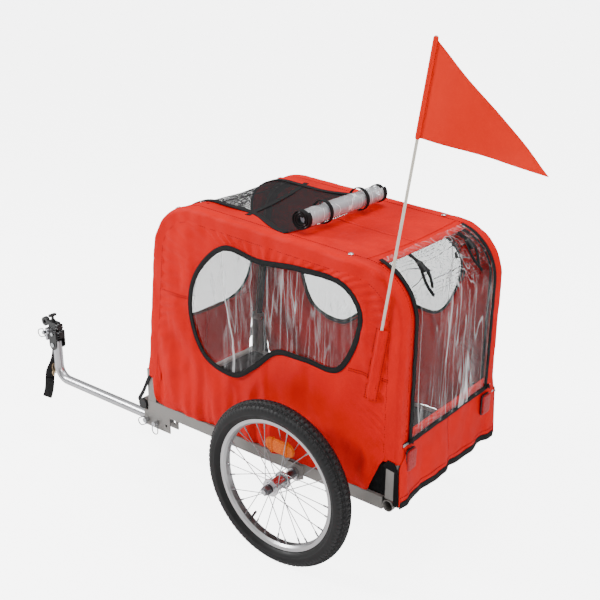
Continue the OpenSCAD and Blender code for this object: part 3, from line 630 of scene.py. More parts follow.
def build_sleeves():
    """Red cloth wrapped round each hoop, from a seam on the roof to a seam on the side."""
    for side, word in SIDES:
        foot = PIVOT[side] - 6
        path = hoop_path(foot, PIVOT[side] + 13, 8)
        verts = []
        profile = [(-26, 9.2), (-18, 10.4), (-9, 11.4), (0, SLEEVE_R)]
        profile += [(SLEEVE_R * math.sin(a), SLEEVE_R * math.cos(a)) for a in
                    [math.radians(15 * k) for k in range(1, 7)]]
        profile += [(11.8, -8), (11.2, -17), (10.4, -27)]
        for p, n, s in path:
            corner = 1 if (p - CORNER_FRONT).length < 150 or (p - CORNER_REAR).length < 130 else 0
            for k, (a, b) in enumerate(profile):
                edge = min(k, len(profile) - 1 - k)
                w = 1.5 * wave(s, k * 9, side * 50, 30, 3.1) + 0.9 * wave(s, k * 14, side * 90, 13, 1.7)
                if corner:
                    w += 2.0 * math.sin(s / 6.5 + 2.0 * wave(s, 0, 0, 40)) * (0.4 + 0.6 * (k > 7))
                w *= smooth(0, 3, edge)
                if p.y < PIVOT[side] + 40:
                    b *= 1 + 0.32 * smooth(PIVOT[side] + 40, PIVOT[side] + 16, p.y)
                q = p + n * (b + w * 0.6)
                verts.append(at(side * (HOOP_X + a + w * 0.6 * (k > 4)), q.x, q.y))
        faces = grid_faces(len(path), len(profile))
        if side < 0:
            faces = [tuple(reversed(f)) for f in faces]
        obj = add_piece(f"hoop_sleeve_{word}", verts, faces, RED, f"{word}_side")
        thicken(obj, 0.9)
        subdivide(obj)
        # Black tape along the hoop's inner side: a dark strip that stands in for the shade on the inner
        # corner
        inside = [(p - n * (HOOP_R + 3), n) for p, n, s in path[3:]]
        inner = [at(side * (HOOP_X - 7), q.x, q.y) for q, n in inside]
        slant = [Vector((side * 0.7, n.x * 0.7, n.y * 0.7)) for q, n in inside]
        tape(f"inner_shade_tape_{word}", inner, 15, 2.0, f"{word}_side", slant)
        for tag, (a, b) in (("roof", (-21, 10.6)), ("side", (10.9, -22))):
            line = [at(side * (HOOP_X + a), (p + n * b).x, (p + n * b).y) for p, n, s in path]
            out = Vector((0, 0, 1)) if tag == "roof" else Vector((side, 0, 0))
            stitches(f"sleeve_stitches_{tag}_{word}", line, out, f"{word}_side")


# ---------------------------------------------------------------- side walls


def side_outer(side):
    """Closed outline of a side wall, as [y, z] points, clockwise from the front foot."""
    foot = PIVOT[side] + 8
    path = hoop_path(foot, foot, 10)
    top = [p - n * 18 for p, n, s in path]
    top[-1] = Vector((236, PIVOT[side] + 19))
    rear = [Vector((225, PIVOT[side] + 2)), Vector((212, PIVOT[side] - 30)), Vector((198, RAIL_TOP + 4))]
    bottom = [Vector((y, RAIL_TOP + 1)) for y in range(180, -440, -20)]
    front = [Vector((-441, RAIL_TOP + 1)), Vector((-452, 258)), Vector((-461, PIVOT[side] - 14)),
             Vector((-466, PIVOT[side] + 4))]
    return top + rear + bottom + front


def ray_hit(centre, direction, loop):
    """Distance from centre to a closed outline along a direction."""
    best = None
    for i, a in enumerate(loop):
        b = loop[(i + 1) % len(loop)]
        e = b - a
        det = direction.x * -e.y + direction.y * e.x
        if abs(det) < 1e-12:
            continue
        d = a - centre
        t = (d.x * -e.y + d.y * e.x) / det
        u = (direction.x * d.y - direction.y * d.x) / det
        if t > 0 and -1e-6 <= u <= 1 + 1e-6 and (best is None or t < best):
            best = t
    return best


def side_bulge(y, z, side):
    """How far the red side wall stands out, in mm: gathers at the rail, tension folds and soft waves."""
    seed = 2.0 if side > 0 else 7.0
    low = smooth(400, 232, z)
    g = math.sin(y / 5.6 + 2.2 * wave(y, 0, 0, 60, seed)) * (0.4 + 0.6 * wave(y, 0, 20, 45, seed))
    out = 5.5 * low * g + 6 * low * smooth(226, 250, z)
    out += 5.0 * wave(y, z, 0, 150, seed) + 4.2 * wave(y * 1.6, z * 0.5, 0, 60, seed + 1)
    folds = math.sin(y / 13 + 1.5 * wave(y, z * 0.4, 0, 70, seed + 2))
    out += 4.5 * folds * smooth(480, 290, z) * (0.5 + 0.5 * wave(y, 0, 0, 110, seed + 3))
    front = max(smooth(-300, -430, y), smooth(150, 230, y))
    out += front * 4.4 * wave(y * 3.0, z * 0.35, 5, 60, seed + 4)
    diag = math.sin((y * 0.8 + z * 0.45) / 15 + 2 * wave(y, z, 0, 90, seed))
    out += 4.0 * diag * smooth(-120, -250, y) * smooth(600, 420, z)
    out += 3.4 * ridge(y * 0.4, z, 0, 60, seed + 6) * smooth(110, 190, y)
    out += 3.0 * ridge(y, z * 0.5, 9, 90, seed + 8)
    return out


def build_side_walls():
    for side, word in SIDES:
        outer = side_outer(side)
        inner = catmull(WINDOW, 36)
        rings = 30
        verts = []
        for i, p in enumerate(inner):
            d = (p - WINDOW_CENTRE)
            far = ray_hit(WINDOW_CENTRE, d.normalized(), outer)
            q = WINDOW_CENTRE + d.normalized() * far
            for k in range(rings):
                t = k / (rings - 1)
                m = p.lerp(q, t)
                edge = min(1.0, t * (q - p).length / 16) * min(1.0, (1 - t) * (q - p).length / 26)
                low = smooth(300, 240, m.y)
                edge = max(edge, low * min(1.0, t * 8))
                over_post = smooth(PIVOT[side] + 40, PIVOT[side] + 10, m.y) * max(smooth(205, 228, m.x),
                                                                                 smooth(-430, -448, m.x))
                from_seam = (1 - t) * (q - p).length
                gather = math.sin(i * 0.9 + 2.5 * wave(i, 0, 0, 25)) * math.exp(-from_seam / 38)
                bulge = side_bulge(m.x, m.y, side) * 0.9 + 3.2 * gather * smooth(330, 420, m.y)
                x = HOOP_X + 10.8 + 2.4 * over_post + bulge * edge
                verts.append(at(side * x, m.x, m.y))
        faces = grid_faces(len(inner), rings, True, False)
        if side > 0:
            faces = [tuple(reversed(f)) for f in faces]
        nodes = [f"side_panel_{word}"] + (["side_skirts"] if side > 0 else [])
        obj = add_piece(f"side_wall_{word}", verts, faces, RED, None, nodes)
        thicken(obj, 1.0)
        subdivide(obj)
        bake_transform(obj)
        # Level seams between the window and the sleeves, sewn twice
        for tag, y0, y1, z in (("front", -448, -318, 539), ("rear", 138, 236, 497)):
            for k in (0, 1):
                line = []
                for y in range(y0, y1, 5):
                    level = z + 5 * k + 1.0 * wave(y, 0, 0, 60)
                    calm = min(1.0, (y - y0) / 26) if tag == "front" else min(1.0, (y1 - y) / 26)
                    x = HOOP_X + 11.8 + side_bulge(y, level, side) * 0.9 * calm
                    line.append(at(side * x, y, level))
                stitches(f"wall_seam_{tag}_{k}_{word}", line, Vector((side, 0, 0)), f"{word}_side")


# ---------------------------------------------------------------- windows


def build_windows():
    for side, word in SIDES:
        inner = catmull(WINDOW, 24)
        rings = 30
        verts = [at(side * (HOOP_X + 10), WINDOW_CENTRE.x, WINDOW_CENTRE.y)]
        seed = 11.0 if side > 0 else 23.0
        for k in range(1, rings + 1):
            t = k / rings
            for p in inner:
                m = WINDOW_CENTRE.lerp(p, t)
                calm = smooth(1.0, 0.86, t)
                w = 5.5 * wave(m.x, m.y * 0.55, 0, 120, seed)
                w += 2.6 * wave(m.x * 1.3, m.y * 0.4, 3, 45, seed)
                share = 0.5 + wave(m.x, m.y, 0, 60, seed)
                w += 3.4 * share * ridge(m.x * 1.2, m.y * 0.45, 7, 90, seed + 2)
                w += 1.6 * ridge(m.x, m.y * 0.5, 1, 38, seed + 5)
                verts.append(at(side * (HOOP_X + 9.2 + w * calm * 0.8), m.x, m.y))
        n = len(inner)
        faces = [(0, 1 + j, 1 + (j + 1) % n) for j in range(n)]
        for k in range(rings - 1):
            for j in range(n):
                a, b = 1 + k * n + j, 1 + k * n + (j + 1) % n
                faces.append((a, a + n, b + n, b))
        film = add_piece(f"window_film_{word}", verts, faces, FILM, f"{word}_side",
                         [f"side_window_{word}"])
        subdivide(film)
        if side < 0:
            net = [at(side * (HOOP_X + 6), WINDOW_CENTRE.x, WINDOW_CENTRE.y)]
            for k in range(1, 7):
                for p in inner:
                    q = WINDOW_CENTRE.lerp(p, k / 6)
                    slack = 2.5 * wave(p.x * k / 6, p.y * k / 6, 0, 90, seed) * (k < 6)
                    net.append(at(side * (HOOP_X + 6 + slack), q.x, q.y))
            net_faces = [f for f in faces if max(f) < len(net)]
            add_piece(f"window_net_{word}", net, net_faces, FINE_NET, f"{word}_side")
        loop = resample([at(side * (HOOP_X + 12.2), p.x, p.y) for p in inner], 6 * MM, True)
        bumpy = []
        for p in loop:
            lift = side * MM * 0.5 * wave(p.y / MM, p.z / MM, 0, 18, seed)
            bumpy.append(p + Vector((lift, 0, 0)))
        edge = tape(f"window_edge_{word}", bumpy, 13, 3.0, f"{word}_side", Vector((side, 0, 0)), True)
        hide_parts(f"window_binding_{word}")
        for tag, off in (("in", -4.6), ("out", 4.6)):
            ring = []
            for p, t in frames_along(loop, True):
                across = t.cross(Vector((side, 0, 0))).normalized()
                ring.append(p + across * (off * MM) + Vector((side * 1.55 * MM, 0, 0)))
            stitches(f"window_stitches_{tag}_{word}", ring, Vector((side, 0, 0)), f"{word}_side",
                     BLACK_CLOTH, 2.8, 1.6, 0.4, True)


# ---------------------------------------------------------------- roof, front and rear


def roof_row(path, y):
    """The row of a hoop path nearest to y on the roof."""
    return min((r for r in path if r[0].y >= ROOF_FROM_Z), key=lambda r: abs(r[0].x - y))


def rear_row(path, z):
    """The row of a hoop path nearest to the height z at the rear."""
    return min((r for r in path if r[0].x >= 0), key=lambda r: abs(r[0].y - z))


def sheet_point(x, p, n, d):
    q = p + n * d
    return at(x, q.x, q.y)


ROOF_EDGE = HOOP_X - 18


def roof_sag(x, y, z, s):
    """The red roof sinks between the hoops and has soft cross waves."""
    c = max(0.0, 1 - (x / ROOF_EDGE) ** 2)
    out = -6.5 * c
    out += 2.4 * wave(x, y * 0.8, z, 120, 4.0) * min(1.0, c * 2.5)
    out += 1.1 * wave(x * 0.5, y * 1.8, z, 48, 9.0) * min(1.0, c * 3)
    return out


DOOR_FOOT = 412
DOOR_CORNER = 95


def door_half(s_y, z):
    """Half the width of the front opening, from the roll over the corner and down the front."""
    if s_y > -330:
        return 128 + 52 * smooth(-210, -60, s_y)
    wide = 128 + 40 * smooth(740, 600, z)
    drop = max(0.0, min(1.0, (DOOR_CORNER - (z - DOOR_FOOT)) / DOOR_CORNER))
    return wide - DOOR_CORNER * (1 - math.sqrt(max(0.0, 1 - drop * drop)))


def fold_down(obj):
    """Gives the piece its own copy of its mesh data."""
    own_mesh(obj)


def half_sheet(name, rows, start, end, cols, side, offset, material=RED, body="chassis", replaces=(),
               t=1.0):
    """One half of a sheet on the hoop outline. start, end and offset are functions of the row and x."""
    verts = []
    for p, n, s in rows:
        a, b = start(p), end(p)
        for k in range(cols):
            x = a + (b - a) * k / (cols - 1)
            verts.append(sheet_point(side * x, p, n, offset(side * x, p, n, s)))
    faces = grid_faces(len(rows), cols)
    if side > 0:
        faces = [tuple(reversed(f)) for f in faces]
    obj = add_piece(name, verts, faces, material, body, replaces)
    if t:
        thicken(obj, t)
    fold_down(obj)
    return obj


def side_edge(p, side):
    """Where the cover meets the sleeve. At the rear its lower end wraps round behind the posts."""
    if p.x > 0:
        return ROOF_EDGE + (HOOP_X + 9 - ROOF_EDGE) * smooth(PIVOT[side] + 34, PIVOT[side] + 6, p.y)
    return HOOP_X - 14 if p.y < PIVOT[side] + 18 else ROOF_EDGE


def cover_offset(x, p, n, s):
    return 10.0 + roof_sag(x, p.x, p.y, s)


def lower_rear_offset(x, p, n, s):
    loose = smooth(345, 225, p.y)
    out = 10.0 + 2.0 * wave(x * 0.7, p.x, p.y, 90, 8.0) * smooth(ROOF_EDGE, ROOF_EDGE - 40, abs(x))
    out += 6.5 * smooth(PIVOT[1] + 60, PIVOT[1] + 24, p.y) * smooth(165, 186, abs(x))
    hang = 7 + 3.5 * math.sin(x / 21 + 1.8 * wave(x, 0, 0, 60)) + 2 * wave(x, 0, p.y, 30, 3.0)
    return out + loose * hang


def front_offset(x, p, n, s):
    return 10.0 + 2.5 * wave(x, p.x, p.y, 70, 6.0) * min(1.0, (ROOF_EDGE + 4 - abs(x)) / 20)


REAR_TOP_Y = 186
SILL_Z = 380
FLAP_HALF = 163
PIPING_Z = 352
HEM_SEAM_Z = 236
DOOR_Y = -58


def rows_between(path, test):
    return [r for r in path if test(r[0])]


def build_cover():
    path = hoop_path(RAIL_TOP + 8, RAIL_TOP - 12, 9)
    for side, word in SIDES:
        edge = lambda p, side=side: side_edge(p, side)
        front = rows_between(path, lambda p: p.x <= DOOR_Y + 1)
        roof = rows_between(path, lambda p: DOOR_Y - 10 < p.x <= REAR_TOP_Y + 1 and p.y > ROOF_FROM_Z)
        rear = rows_between(path, lambda p: p.x > REAR_TOP_Y - 9 and p.y > SILL_Z - 4)
        low = rows_between(path, lambda p: p.x > REAR_TOP_Y and p.y <= SILL_Z + 6)
        upper = [r for r in front if r[0].y > DOOR_FOOT]
        lower = [r for r in front if r[0].y <= DOOR_FOOT + 9]
        door = lambda p: door_half(p.x, p.y)
        half_sheet(f"cover_front_{word}", upper, door, edge, 9, side, front_offset,
                   replaces=["canopy"])
        half_sheet(f"cover_sill_{word}", lower, lambda p: 0, edge, 24, side, front_offset)
        half_sheet(f"cover_roof_{word}", roof, lambda p: 0, edge, 24, side, cover_offset)
        half_sheet(f"cover_rear_{word}", rear, lambda p: FLAP_HALF, edge, 5, side,
                   lambda x, p, n, s: 10.0, replaces=["rear_panel"])
        half_sheet(f"cover_rear_low_{word}", low, lambda p: 0, edge, 34, side, lower_rear_offset)
        mesh_rows = rows_between(path, lambda p: p.x > REAR_TOP_Y - 14 and p.y > SILL_Z - 12)
        half_sheet(f"rear_net_{word}", mesh_rows, lambda p: 0, lambda p: FLAP_HALF + 4, 16, side,
                   lambda x, p, n, s: 7.6 + 2.0 * wave(x, p.x, p.y, 90, 14.0), REAR_NET, "chassis",
                   ["rear_mesh"], 0)
        seam_rows = [r for r in path if abs(r[0].x - REAR_TOP_Y) < 60 and r[0].y > ROOF_FROM_Z]
        seam = min(seam_rows, key=lambda r: abs(r[0].x - 150))
        line = [sheet_point(side * x, seam[0], seam[1], cover_offset(side * x, *seam) + 1.2)
                for x in range(2, int(ROOF_EDGE), 6)]
        obj = cord(f"roof_seam_{word}", line, 1.1, RED, "chassis", False, 0.7)
        fold_down(obj)


# ---------------------------------------------------------------- front door


def door_offset(x, p, n, s):
    half = door_half(p.x, p.y)
    c = 1 - (x / half) ** 2
    return 10.2 + (-5.0 * c + 1.6 * wave(x, p.x, p.y, 70, 12.0)) * min(1.0, c * 4)


def build_front_door():
    path = [r for r in hoop_path(DOOR_FOOT, 300, 9) if r[0].x < DOOR_Y]
    for side, word in SIDES:
        half_sheet(f"front_net_{word}", path, lambda p: 0, lambda p: door_half(p.x, p.y), 20, side,
                   door_offset,
                   NET, "mesh_door", ["front_door"], 0)
        edge = [sheet_point(side * door_half(p.x, p.y), p, n, 12.0) for p, n, s in path]
        obj = tape(f"front_binding_{word}", edge, 15, 3.0, "mesh_door", [outward(n) for p, n, s in path])
        fold_down(obj)
        foot = path[0]
        base = [sheet_point(side * x, foot[0], foot[1], 12.0)
                for x in range(0, int(door_half(foot[0].x, foot[0].y)) + 4, 8)]
        obj = tape(f"door_foot_binding_{word}", base, 12, 2.4, "mesh_door", Vector((0, -1, 0)))
        fold_down(obj)
    # Band and thin cross strap under the net, running askew from side to side
    for name, y_left, y_right, w, d in (("cross_band", -196, -262, 13, 2.0),
                                        ("cross_strap", -318, -292, 5, -1.0)):
        for side, word in SIDES:
            pts, ups = [], []
            for k in range(15):
                x = side * 150 * k / 14
                y = (y_left + y_right) / 2 + (y_left - y_right) / 2 * x / 150
                p, n, s = roof_row(path, y)
                top = p.y + (y - p.x) * (CORNER_REAR.y - CORNER_FRONT.y) / (CORNER_REAR.x - CORNER_FRONT.x)
                q = Vector((y, top))
                pts.append(sheet_point(x, q, n, door_offset(x * 0.8, q, n, s) + d))
                ups.append(outward(n))
            obj = tape(f"{name}_{word}", pts, w, 1.6, "mesh_door", ups)
            fold_down(obj)


# ---------------------------------------------------------------- rear flap and its fittings


def flap_offset(x, p, n, s):
    calm = min(1.0, (168 - abs(x)) / 30)
    out = 2.2 * wave(x * 1.1, p.x * 0.5, p.y * 0.5, 60, 31.0)
    out += 2.0 * ridge(x * 1.2, p.x * 0.4, p.y * 0.45, 70, 33.0)
    return 14.5 + out * calm


def build_rear_flap():
    path = [r for r in hoop_path(300, SILL_Z - 26, 9) if r[0].x > 168]
    bottom = path[-1]
    body = "rear_rain_flap"
    for side, word in SIDES:
        half_sheet(f"rear_film_{word}", path, lambda p: 0, lambda p: 166, 34, side, flap_offset, FILM,
                   body, ["rear_flap"], 0)
        ups = [outward(n) for p, n, s in path]
        edge = [sheet_point(side * (166 + 1.2 * wave(s, 0, 0, 30)), p, n, 14.6 + 1.0 * wave(s, 5, 0, 24))
                for p, n, s in path]
        fold_down(tape(f"flap_binding_{word}", edge, 12, 2.8, body, ups))
        line = [sheet_point(side * x, bottom[0], bottom[1], 15.0 + 1.5 * wave(x, 0, 0, 40))
                for x in range(0, 171, 6)]
        fold_down(tape(f"flap_foot_binding_{word}", line, 13, 2.8, body, Vector((0, 1, 0))))
        # Silver reflective piping with dark edges on the red panel
        pipe = rear_row(hoop_path(300, 200, 6), PIPING_Z)
        for tag, d, w, mat in (("piping_edge", 12.4, 10, BLACK_TAPE), ("piping", 13.4, 6.5, SILVER_TAPE)):
            line = [at(side * x, pipe[0].x + d + 0.6 * wave(x, 0, 0, 60),
                       PIPING_Z + 1.5 * wave(x, 0, 3, 90))
                    for x in range(0, int(ROOF_EDGE) + 16, 6)]
            fold_down(tape(f"{tag}_{word}", line, w, 1.6, "chassis", Vector((0, 1, 0)), material=mat))
        # Hem of the lower panel: black webbing that hangs in waves, with a stitch line above it
        rows = hoop_path(300, RAIL_TOP - 12, 9)
        hem, stitch = [], []
        for x in range(0, int(HOOP_X) + 8, 5):
            p, n, s = rows[-1]
            q = rear_row(rows, HEM_SEAM_Z)
            d = lower_rear_offset(side * x, p, n, s)
            hem.append(at(side * x, p.x + d + 0.6, p.y + 3 + 3.5 * wave(x, side * 9, 0, 34, 5.0)))
            stitch.append(at(side * x, q[0].x + lower_rear_offset(side * x, *q) + 0.9, HEM_SEAM_Z))
        fold_down(tape(f"rear_hem_{word}", hem, 17, 3.2, "chassis", Vector((0, 1, 0))))
        fold_down(stitches(f"rear_hem_stitches_{word}", stitch, Vector((0, 1, 0)), "chassis"))
        # Knots of the elastic at the flap's lower corners
        knot = at(side * 169, bottom[0].x + 19, bottom[0].y + 2)
        loop = [knot + Vector((math.cos(a) * 5, math.sin(a) * 2.4, math.sin(a * 2) * 4)) * MM
                for a in full_turn(18)]
        fold_down(cord(f"flap_knot_{word}", loop, 2.2, BLACK_TAPE, body, True, sides=8))
    # Two ties with toggles that hold the flap when it is rolled up
    top = [r for r in path if r[0].x > 172]
    for k, (x0, side) in enumerate(((96, 1), (-104, -1))):
        for strand, (dx, length, twist) in enumerate(((-5, 62, 0.4), (6, 74, -0.5))):
            pts = []
            for i in range(16):
                s = i / 15
                row = top[min(len(top) - 1, 1 + int(s * length / 9))]
                frac = s * length / 9 - int(s * length / 9)
                nxt = top[min(len(top) - 1, 2 + int(s * length / 9))]
                p = row[0].lerp(nxt[0], frac)
                n = row[1].lerp(nxt[1], frac)
                x = x0 + dx * math.sin(s * 3) * 1.6 + 9 * twist * math.sin(s * 6 + k)
                pts.append(sheet_point(x, p, n, 19.5 + 2.5 * math.sin(s * 5 + strand)))
            fold_down(tape(f"flap_tie_{k}_{strand}", pts, 9, 2.4, "rear_rain_flap", Vector((0, 1, 0.5))))
        p, n, s = top[4]
        centre = sheet_point(x0 + 2, p, n, 23.5)
        axis = Vector((0, -n.y, n.x))
        pts = [centre + axis * (t * MM) for t in (-13, -12, -8, -3, 3, 8, 12, 13)]
        fat = [2.0, 6.5, 8.0, 7.6, 7.6, 8.0, 6.5, 2.0]
        verts, m = [], 12
        for q, r in zip(pts, fat):
            out = outward(n)
            for a in full_turn(m):
                verts.append(q + (Vector((1, 0, 0)) * math.cos(a) * r + out * math.sin(a) * r * 0.8) * MM)
        faces = tube_faces(len(pts), m)
        fold_down(add_piece(f"flap_toggle_{k}", verts, faces, BLACK_PLASTIC, "rear_rain_flap"))


# ---------------------------------------------------------------- corner gussets and flares


GUSSET_THICKNESS = 1.2


def flat_cloth(name, outline, x, side, seed, bulge):
    """Small black sheet in the plane x with a soft bulge, from a closed [y, z] outline of four corners."""
    a, b, c, d = [Vector(p) for p in outline]
    n, verts = 12, []
    for i in range(n + 1):
        for j in range(n + 1):
            u, v = i / n, j / n
            p = (a.lerp(b, u)).lerp(d.lerp(c, u), v)
            calm = min(1.0, 5 * min(u, v, 1 - u, 1 - v))
            verts.append(at(side * (x + bulge * wave(p.x, p.y, 0, 22, seed) * calm), p.x, p.y))
    obj = add_piece(name, verts, grid_faces(n + 1, n + 1), BLACK_CLOTH, "chassis")
    return thicken(obj, GUSSET_THICKNESS)


def build_gussets():
    for side, word in SIDES:
        top = PIVOT[side] + 12
        for tag, corners, x, seed, bulge in (
                ("rear", ((180, 228), (212, top - 8), (238, top), (238.5, 228)), 205.6, 3.0, 2.5),
                ("cap", ((232, top - 10), (245, top + 9), (262, top + 7), (273, top - 16)), 213.2, 7.0,
                 1.0),
                ("edge", ((263, 216), (262, top - 6), (270, top - 4), (277, 216)), 213.0, 9.0, 1.5),
                ("front", ((-430, 228), (-441, 284), (-450, top), (-453.5, 228)), 205.6, 5.0, 2.5)):
            flat_cloth(f"gusset_{tag}_{word}", corners, x, side, seed + side, bulge)
        flare = []
        for k in range(9):
            drop = 14 + 10.5 * k - 2.0 * math.sin(k)
            flare.append(at(side * (211 + 0.4 * k), -472 - 5.6 * k, top - drop))
        tape(f"front_flare_{word}", flare, 13, 2.4, "chassis", Vector((side, -0.4, 0)))


# ---------------------------------------------------------------- rolled rain cover

ROLL_Y = behind_axle((ROLL_LO[1] + ROLL_HI[1]) / 2)
ROLL_Z = (ROLL_LO[2] + ROLL_HI[2]) / 2 / MM
ROLL_R = (ROLL_HI[2] - ROLL_LO[2]) / 2 / MM
ROLL_HALF = (ROLL_HI[0] - ROLL_LO[0]) / 2 / MM
STRAP_X = 70


def build_roll():
    turns, around = 3, 40
    for side, word in SIDES:
        verts, cols = [], 36
        count = turns * around
        for k in range(cols + 1):
            x = ROLL_HALF * k / cols
            pinch = 1 - 0.10 * math.exp(-((x - STRAP_X) / 10) ** 2)
            for i in range(count + 1):
                a = 2 * math.pi * i / around
                r = 8 + (ROLL_R - 9.5) * i / count
                r *= pinch
                wx = side * x
                r += 1.3 * wave(wx * 0.6, a * 9, i * 0.2, 14, 2.0) + 0.9 * ridge(wx, a * 12, 3, 26, 5.0)
                verts.append(at(wx, ROLL_Y + r * math.cos(a + 0.8),
                                ROLL_Z - 1 + r * math.sin(a + 0.8) * 0.96))
        obj = add_piece(f"rain_roll_{word}", verts, grid_faces(cols + 1, count + 1), FILM_ROLL, "chassis",
                        ["rain_cover_roll"])
        fold_down(obj)
        # Black binding rolled in with the film at its end
        pts = []
        for i in range(0, count + 1):
            a = 2 * math.pi * i / around + 0.8
            r = 8 + (ROLL_R - 8.6) * i / count
            pts.append(at(side * (ROLL_HALF - 3), ROLL_Y + r * math.cos(a),
                          ROLL_Z - 1 + r * math.sin(a) * 0.96))
        verts, faces = [], []
        for p, t in frames_along(pts):
            across = Vector((side, 0, 0))
            out = t.cross(across).normalized()
            for u, w in ((-6, -1.3), (6, -1.3), (6, 1.3), (-6, 1.3)):
                verts.append(p + across * (u * MM) + out * (w * MM))
        faces = tube_faces(len(pts), 4)
        fold_down(add_piece(f"roll_end_binding_{word}", verts, faces, BLACK_TAPE, "chassis"))
        r = ROLL_R + 0.9
        ring = [at(side * STRAP_X, ROLL_Y + r * math.cos(a), ROLL_Z - 0.6 + r * math.sin(a))
                for a in full_turn(48)]
        verts, faces = [], []
        for p, t in frames_along(ring, True):
            out = (p - at(side * STRAP_X, ROLL_Y, ROLL_Z)).normalized()
            for u, w in ((-5, -1), (5, -1), (5, 1.2), (0, 1.7), (-5, 1.2)):
                verts.append(p + Vector((u * MM, 0, 0)) + out * (w * MM))
        strap = add_piece(f"roll_strap_{word}", verts, grid_faces(len(ring), 5, True, True), BLACK_TAPE,
                          "chassis", ["roll_straps"])
        fold_down(strap)


# ---------------------------------------------------------------- tyres

TREAD = 2.4
TREAD_CELLS = 92
CELL_STEPS = 5


BLOCK_WIDTH = 5.2
GROOVE_SHARE = 0.18


def build_tyres():
    for _, word in SIDES:
        lo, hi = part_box(f"tyre_{word}")
        cx = (lo[0] + hi[0]) / 2 / MM
        crown = (hi[0] - lo[0]) / 2 / MM - 0.2
        centre = TYRE_R - crown
        profile = [(12.0, 157.0), (13.4, 160.5)]
        for k in range(0, 33):
            a = math.radians(-52 + (180 + 104) * k / 32)
            profile.append((crown * math.cos(a), centre + crown * math.sin(a)))
        profile += [(-13.4, 160.5), (-12.0, 157.0)]
        count = TREAD_CELLS * CELL_STEPS
        verts = []
        for i in range(count):
            t = 2 * math.pi * i / count
            part = i % CELL_STEPS
            for x, r in profile:
                lean = abs(x) / crown
                across = (x + crown) / BLOCK_WIDTH
                rows = int(across)
                phase = (part + (rows % 2) * 2) % CELL_STEPS
                groove = phase == 0 or abs(across - rows) < GROOVE_SHARE
                tread = smooth(0.93, 0.80, lean) if r > centre else 0.0
                lift = -TREAD * tread if groove else 0.0
                lift += 0.6 if r < centre and abs(r - 171) < 1.2 else 0.0
                lift += 0.5 * (1 if (i // 2) % 2 and r > centre and 0.86 < lean < 0.97 else 0)
                d = Vector((x, r - centre))
                d = d.normalized() * (d.length + lift) if d.length else d
                rr = centre + d.y
                verts.append(at(cx + d.x, rr * math.cos(t), TYRE_R + rr * math.sin(t)))
        faces = grid_faces(count, len(profile), True, False)
        obj = add_piece(f"tyre_tread_{word}", verts, faces, RUBBER, f"{word}_wheel",
                        [f"tyre_{word}"])
        obj.data.set_sharp_from_angle(angle=math.radians(24))


# ---------------------------------------------------------------- reflectors


def lens(name, outline, centre, out, along, height, material, body, replaces=()):
    """Domed lens: rings of an outline that step in towards the face. outline is in mm."""
    up = out.cross(along)
    rings = ((1.0, 0.0), (1.0, 0.62), (0.97, 0.84), (0.9, 0.95), (0.80, 1.0), (0.4, 1.03))
    verts = []
    for share, h in rings:
        for a, b in outline:
            flat = along * (a * share * MM) + up * (b * share * MM)
            verts.append(centre + flat + out * (h * height * MM))
    return add_piece(name, verts, tube_faces(len(rings), len(outline)), material, body, replaces)


def pill(half_long, r, n=12):
    out = [(half_long - r + r * math.cos(a), r * math.sin(a)) for a in
           [math.pi * (k / n - 0.5) for k in range(n + 1)]]
    return out + [(-a, -b) for a, b in out]


def rounded(w, h, r, n=6):
    out = []
    for cx, cy, start in ((1, 1, 0), (-1, 1, 90), (-1, -1, 180), (1, -1, 270)):
        for k in range(n + 1):
            a = math.radians(start + 90 * k / n)
            out.append((cx * (w / 2 - r) + r * math.cos(a), cy * (h / 2 - r) + r * math.sin(a)))
    return out


REFLECTOR_X = 165
REFLECTOR_Z = 312
REFLECTOR_OUT = 15


def build_reflectors():
    for side, word in SIDES:
        lo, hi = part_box(f"spoke_reflector_{word}")
        mid = (Vector(lo) + Vector(hi)) / 2
        for face, tag in ((1, "outer"), (-1, "inner")):
            lens(f"spoke_lens_{tag}_{word}", pill(39, 15), mid, Vector((face, 0, 0)), Vector((0, 1, 0)),
                 4.2, AMBER,
                 f"{word}_wheel", [f"spoke_reflector_{word}"])
        rim = [mid + Vector((0, a * 1.01, b * 1.03)) * MM for a, b in pill(39.5, 15.4)]
        cord(f"spoke_lens_rim_{word}", rim, 1.3, AMBER, f"{word}_wheel", True,
             up=Vector((1, 0, 0)), sides=8)
        for k in (-1, 1):
            corners = ((-1, -1), (-1, 1), (1, 1), (1, -1))
            clip = [mid + Vector((5.0 * s, k * 20, 17 * c)) * MM for s, c in corners]
            cord(f"spoke_clip_{'a' if k < 0 else 'b'}_{word}", resample(clip, 3 * MM, True), 1.2, AMBER,
                 f"{word}_wheel", True, up=Vector((0, 1, 0)), sides=8)
        rear = at(side * REFLECTOR_X, FOOT_REAR.x + REFLECTOR_OUT, REFLECTOR_Z)
        out, along = Vector((0, 1, 0)), Vector((1, 0, 0))
        back = lens(f"rear_reflector_base_{word}", rounded(37, 53, 9), rear, out, along, 3.5,
                    BLACK_PLASTIC, "chassis", ["rear_reflectors"])
        face = lens(f"rear_reflector_lens_{word}", rounded(33, 49, 7.5), rear + Vector((0, 2.6, 0)) * MM,
                    out, along, 5.0, RED_REFLECTOR, "chassis")
        fold_down(back)
        fold_down(face)


# ---------------------------------------------------------------- flag and pole pocket

POLE_LEAN = math.radians(8.3)
POLE_X = HOOP_X + HOOP_R + 0.5 + 3 + 6


def pole(z, dx=0.0, dy=0.0):
    return at(POLE_X + dx, 194 + math.tan(POLE_LEAN) * (z - 448) + dy, z)


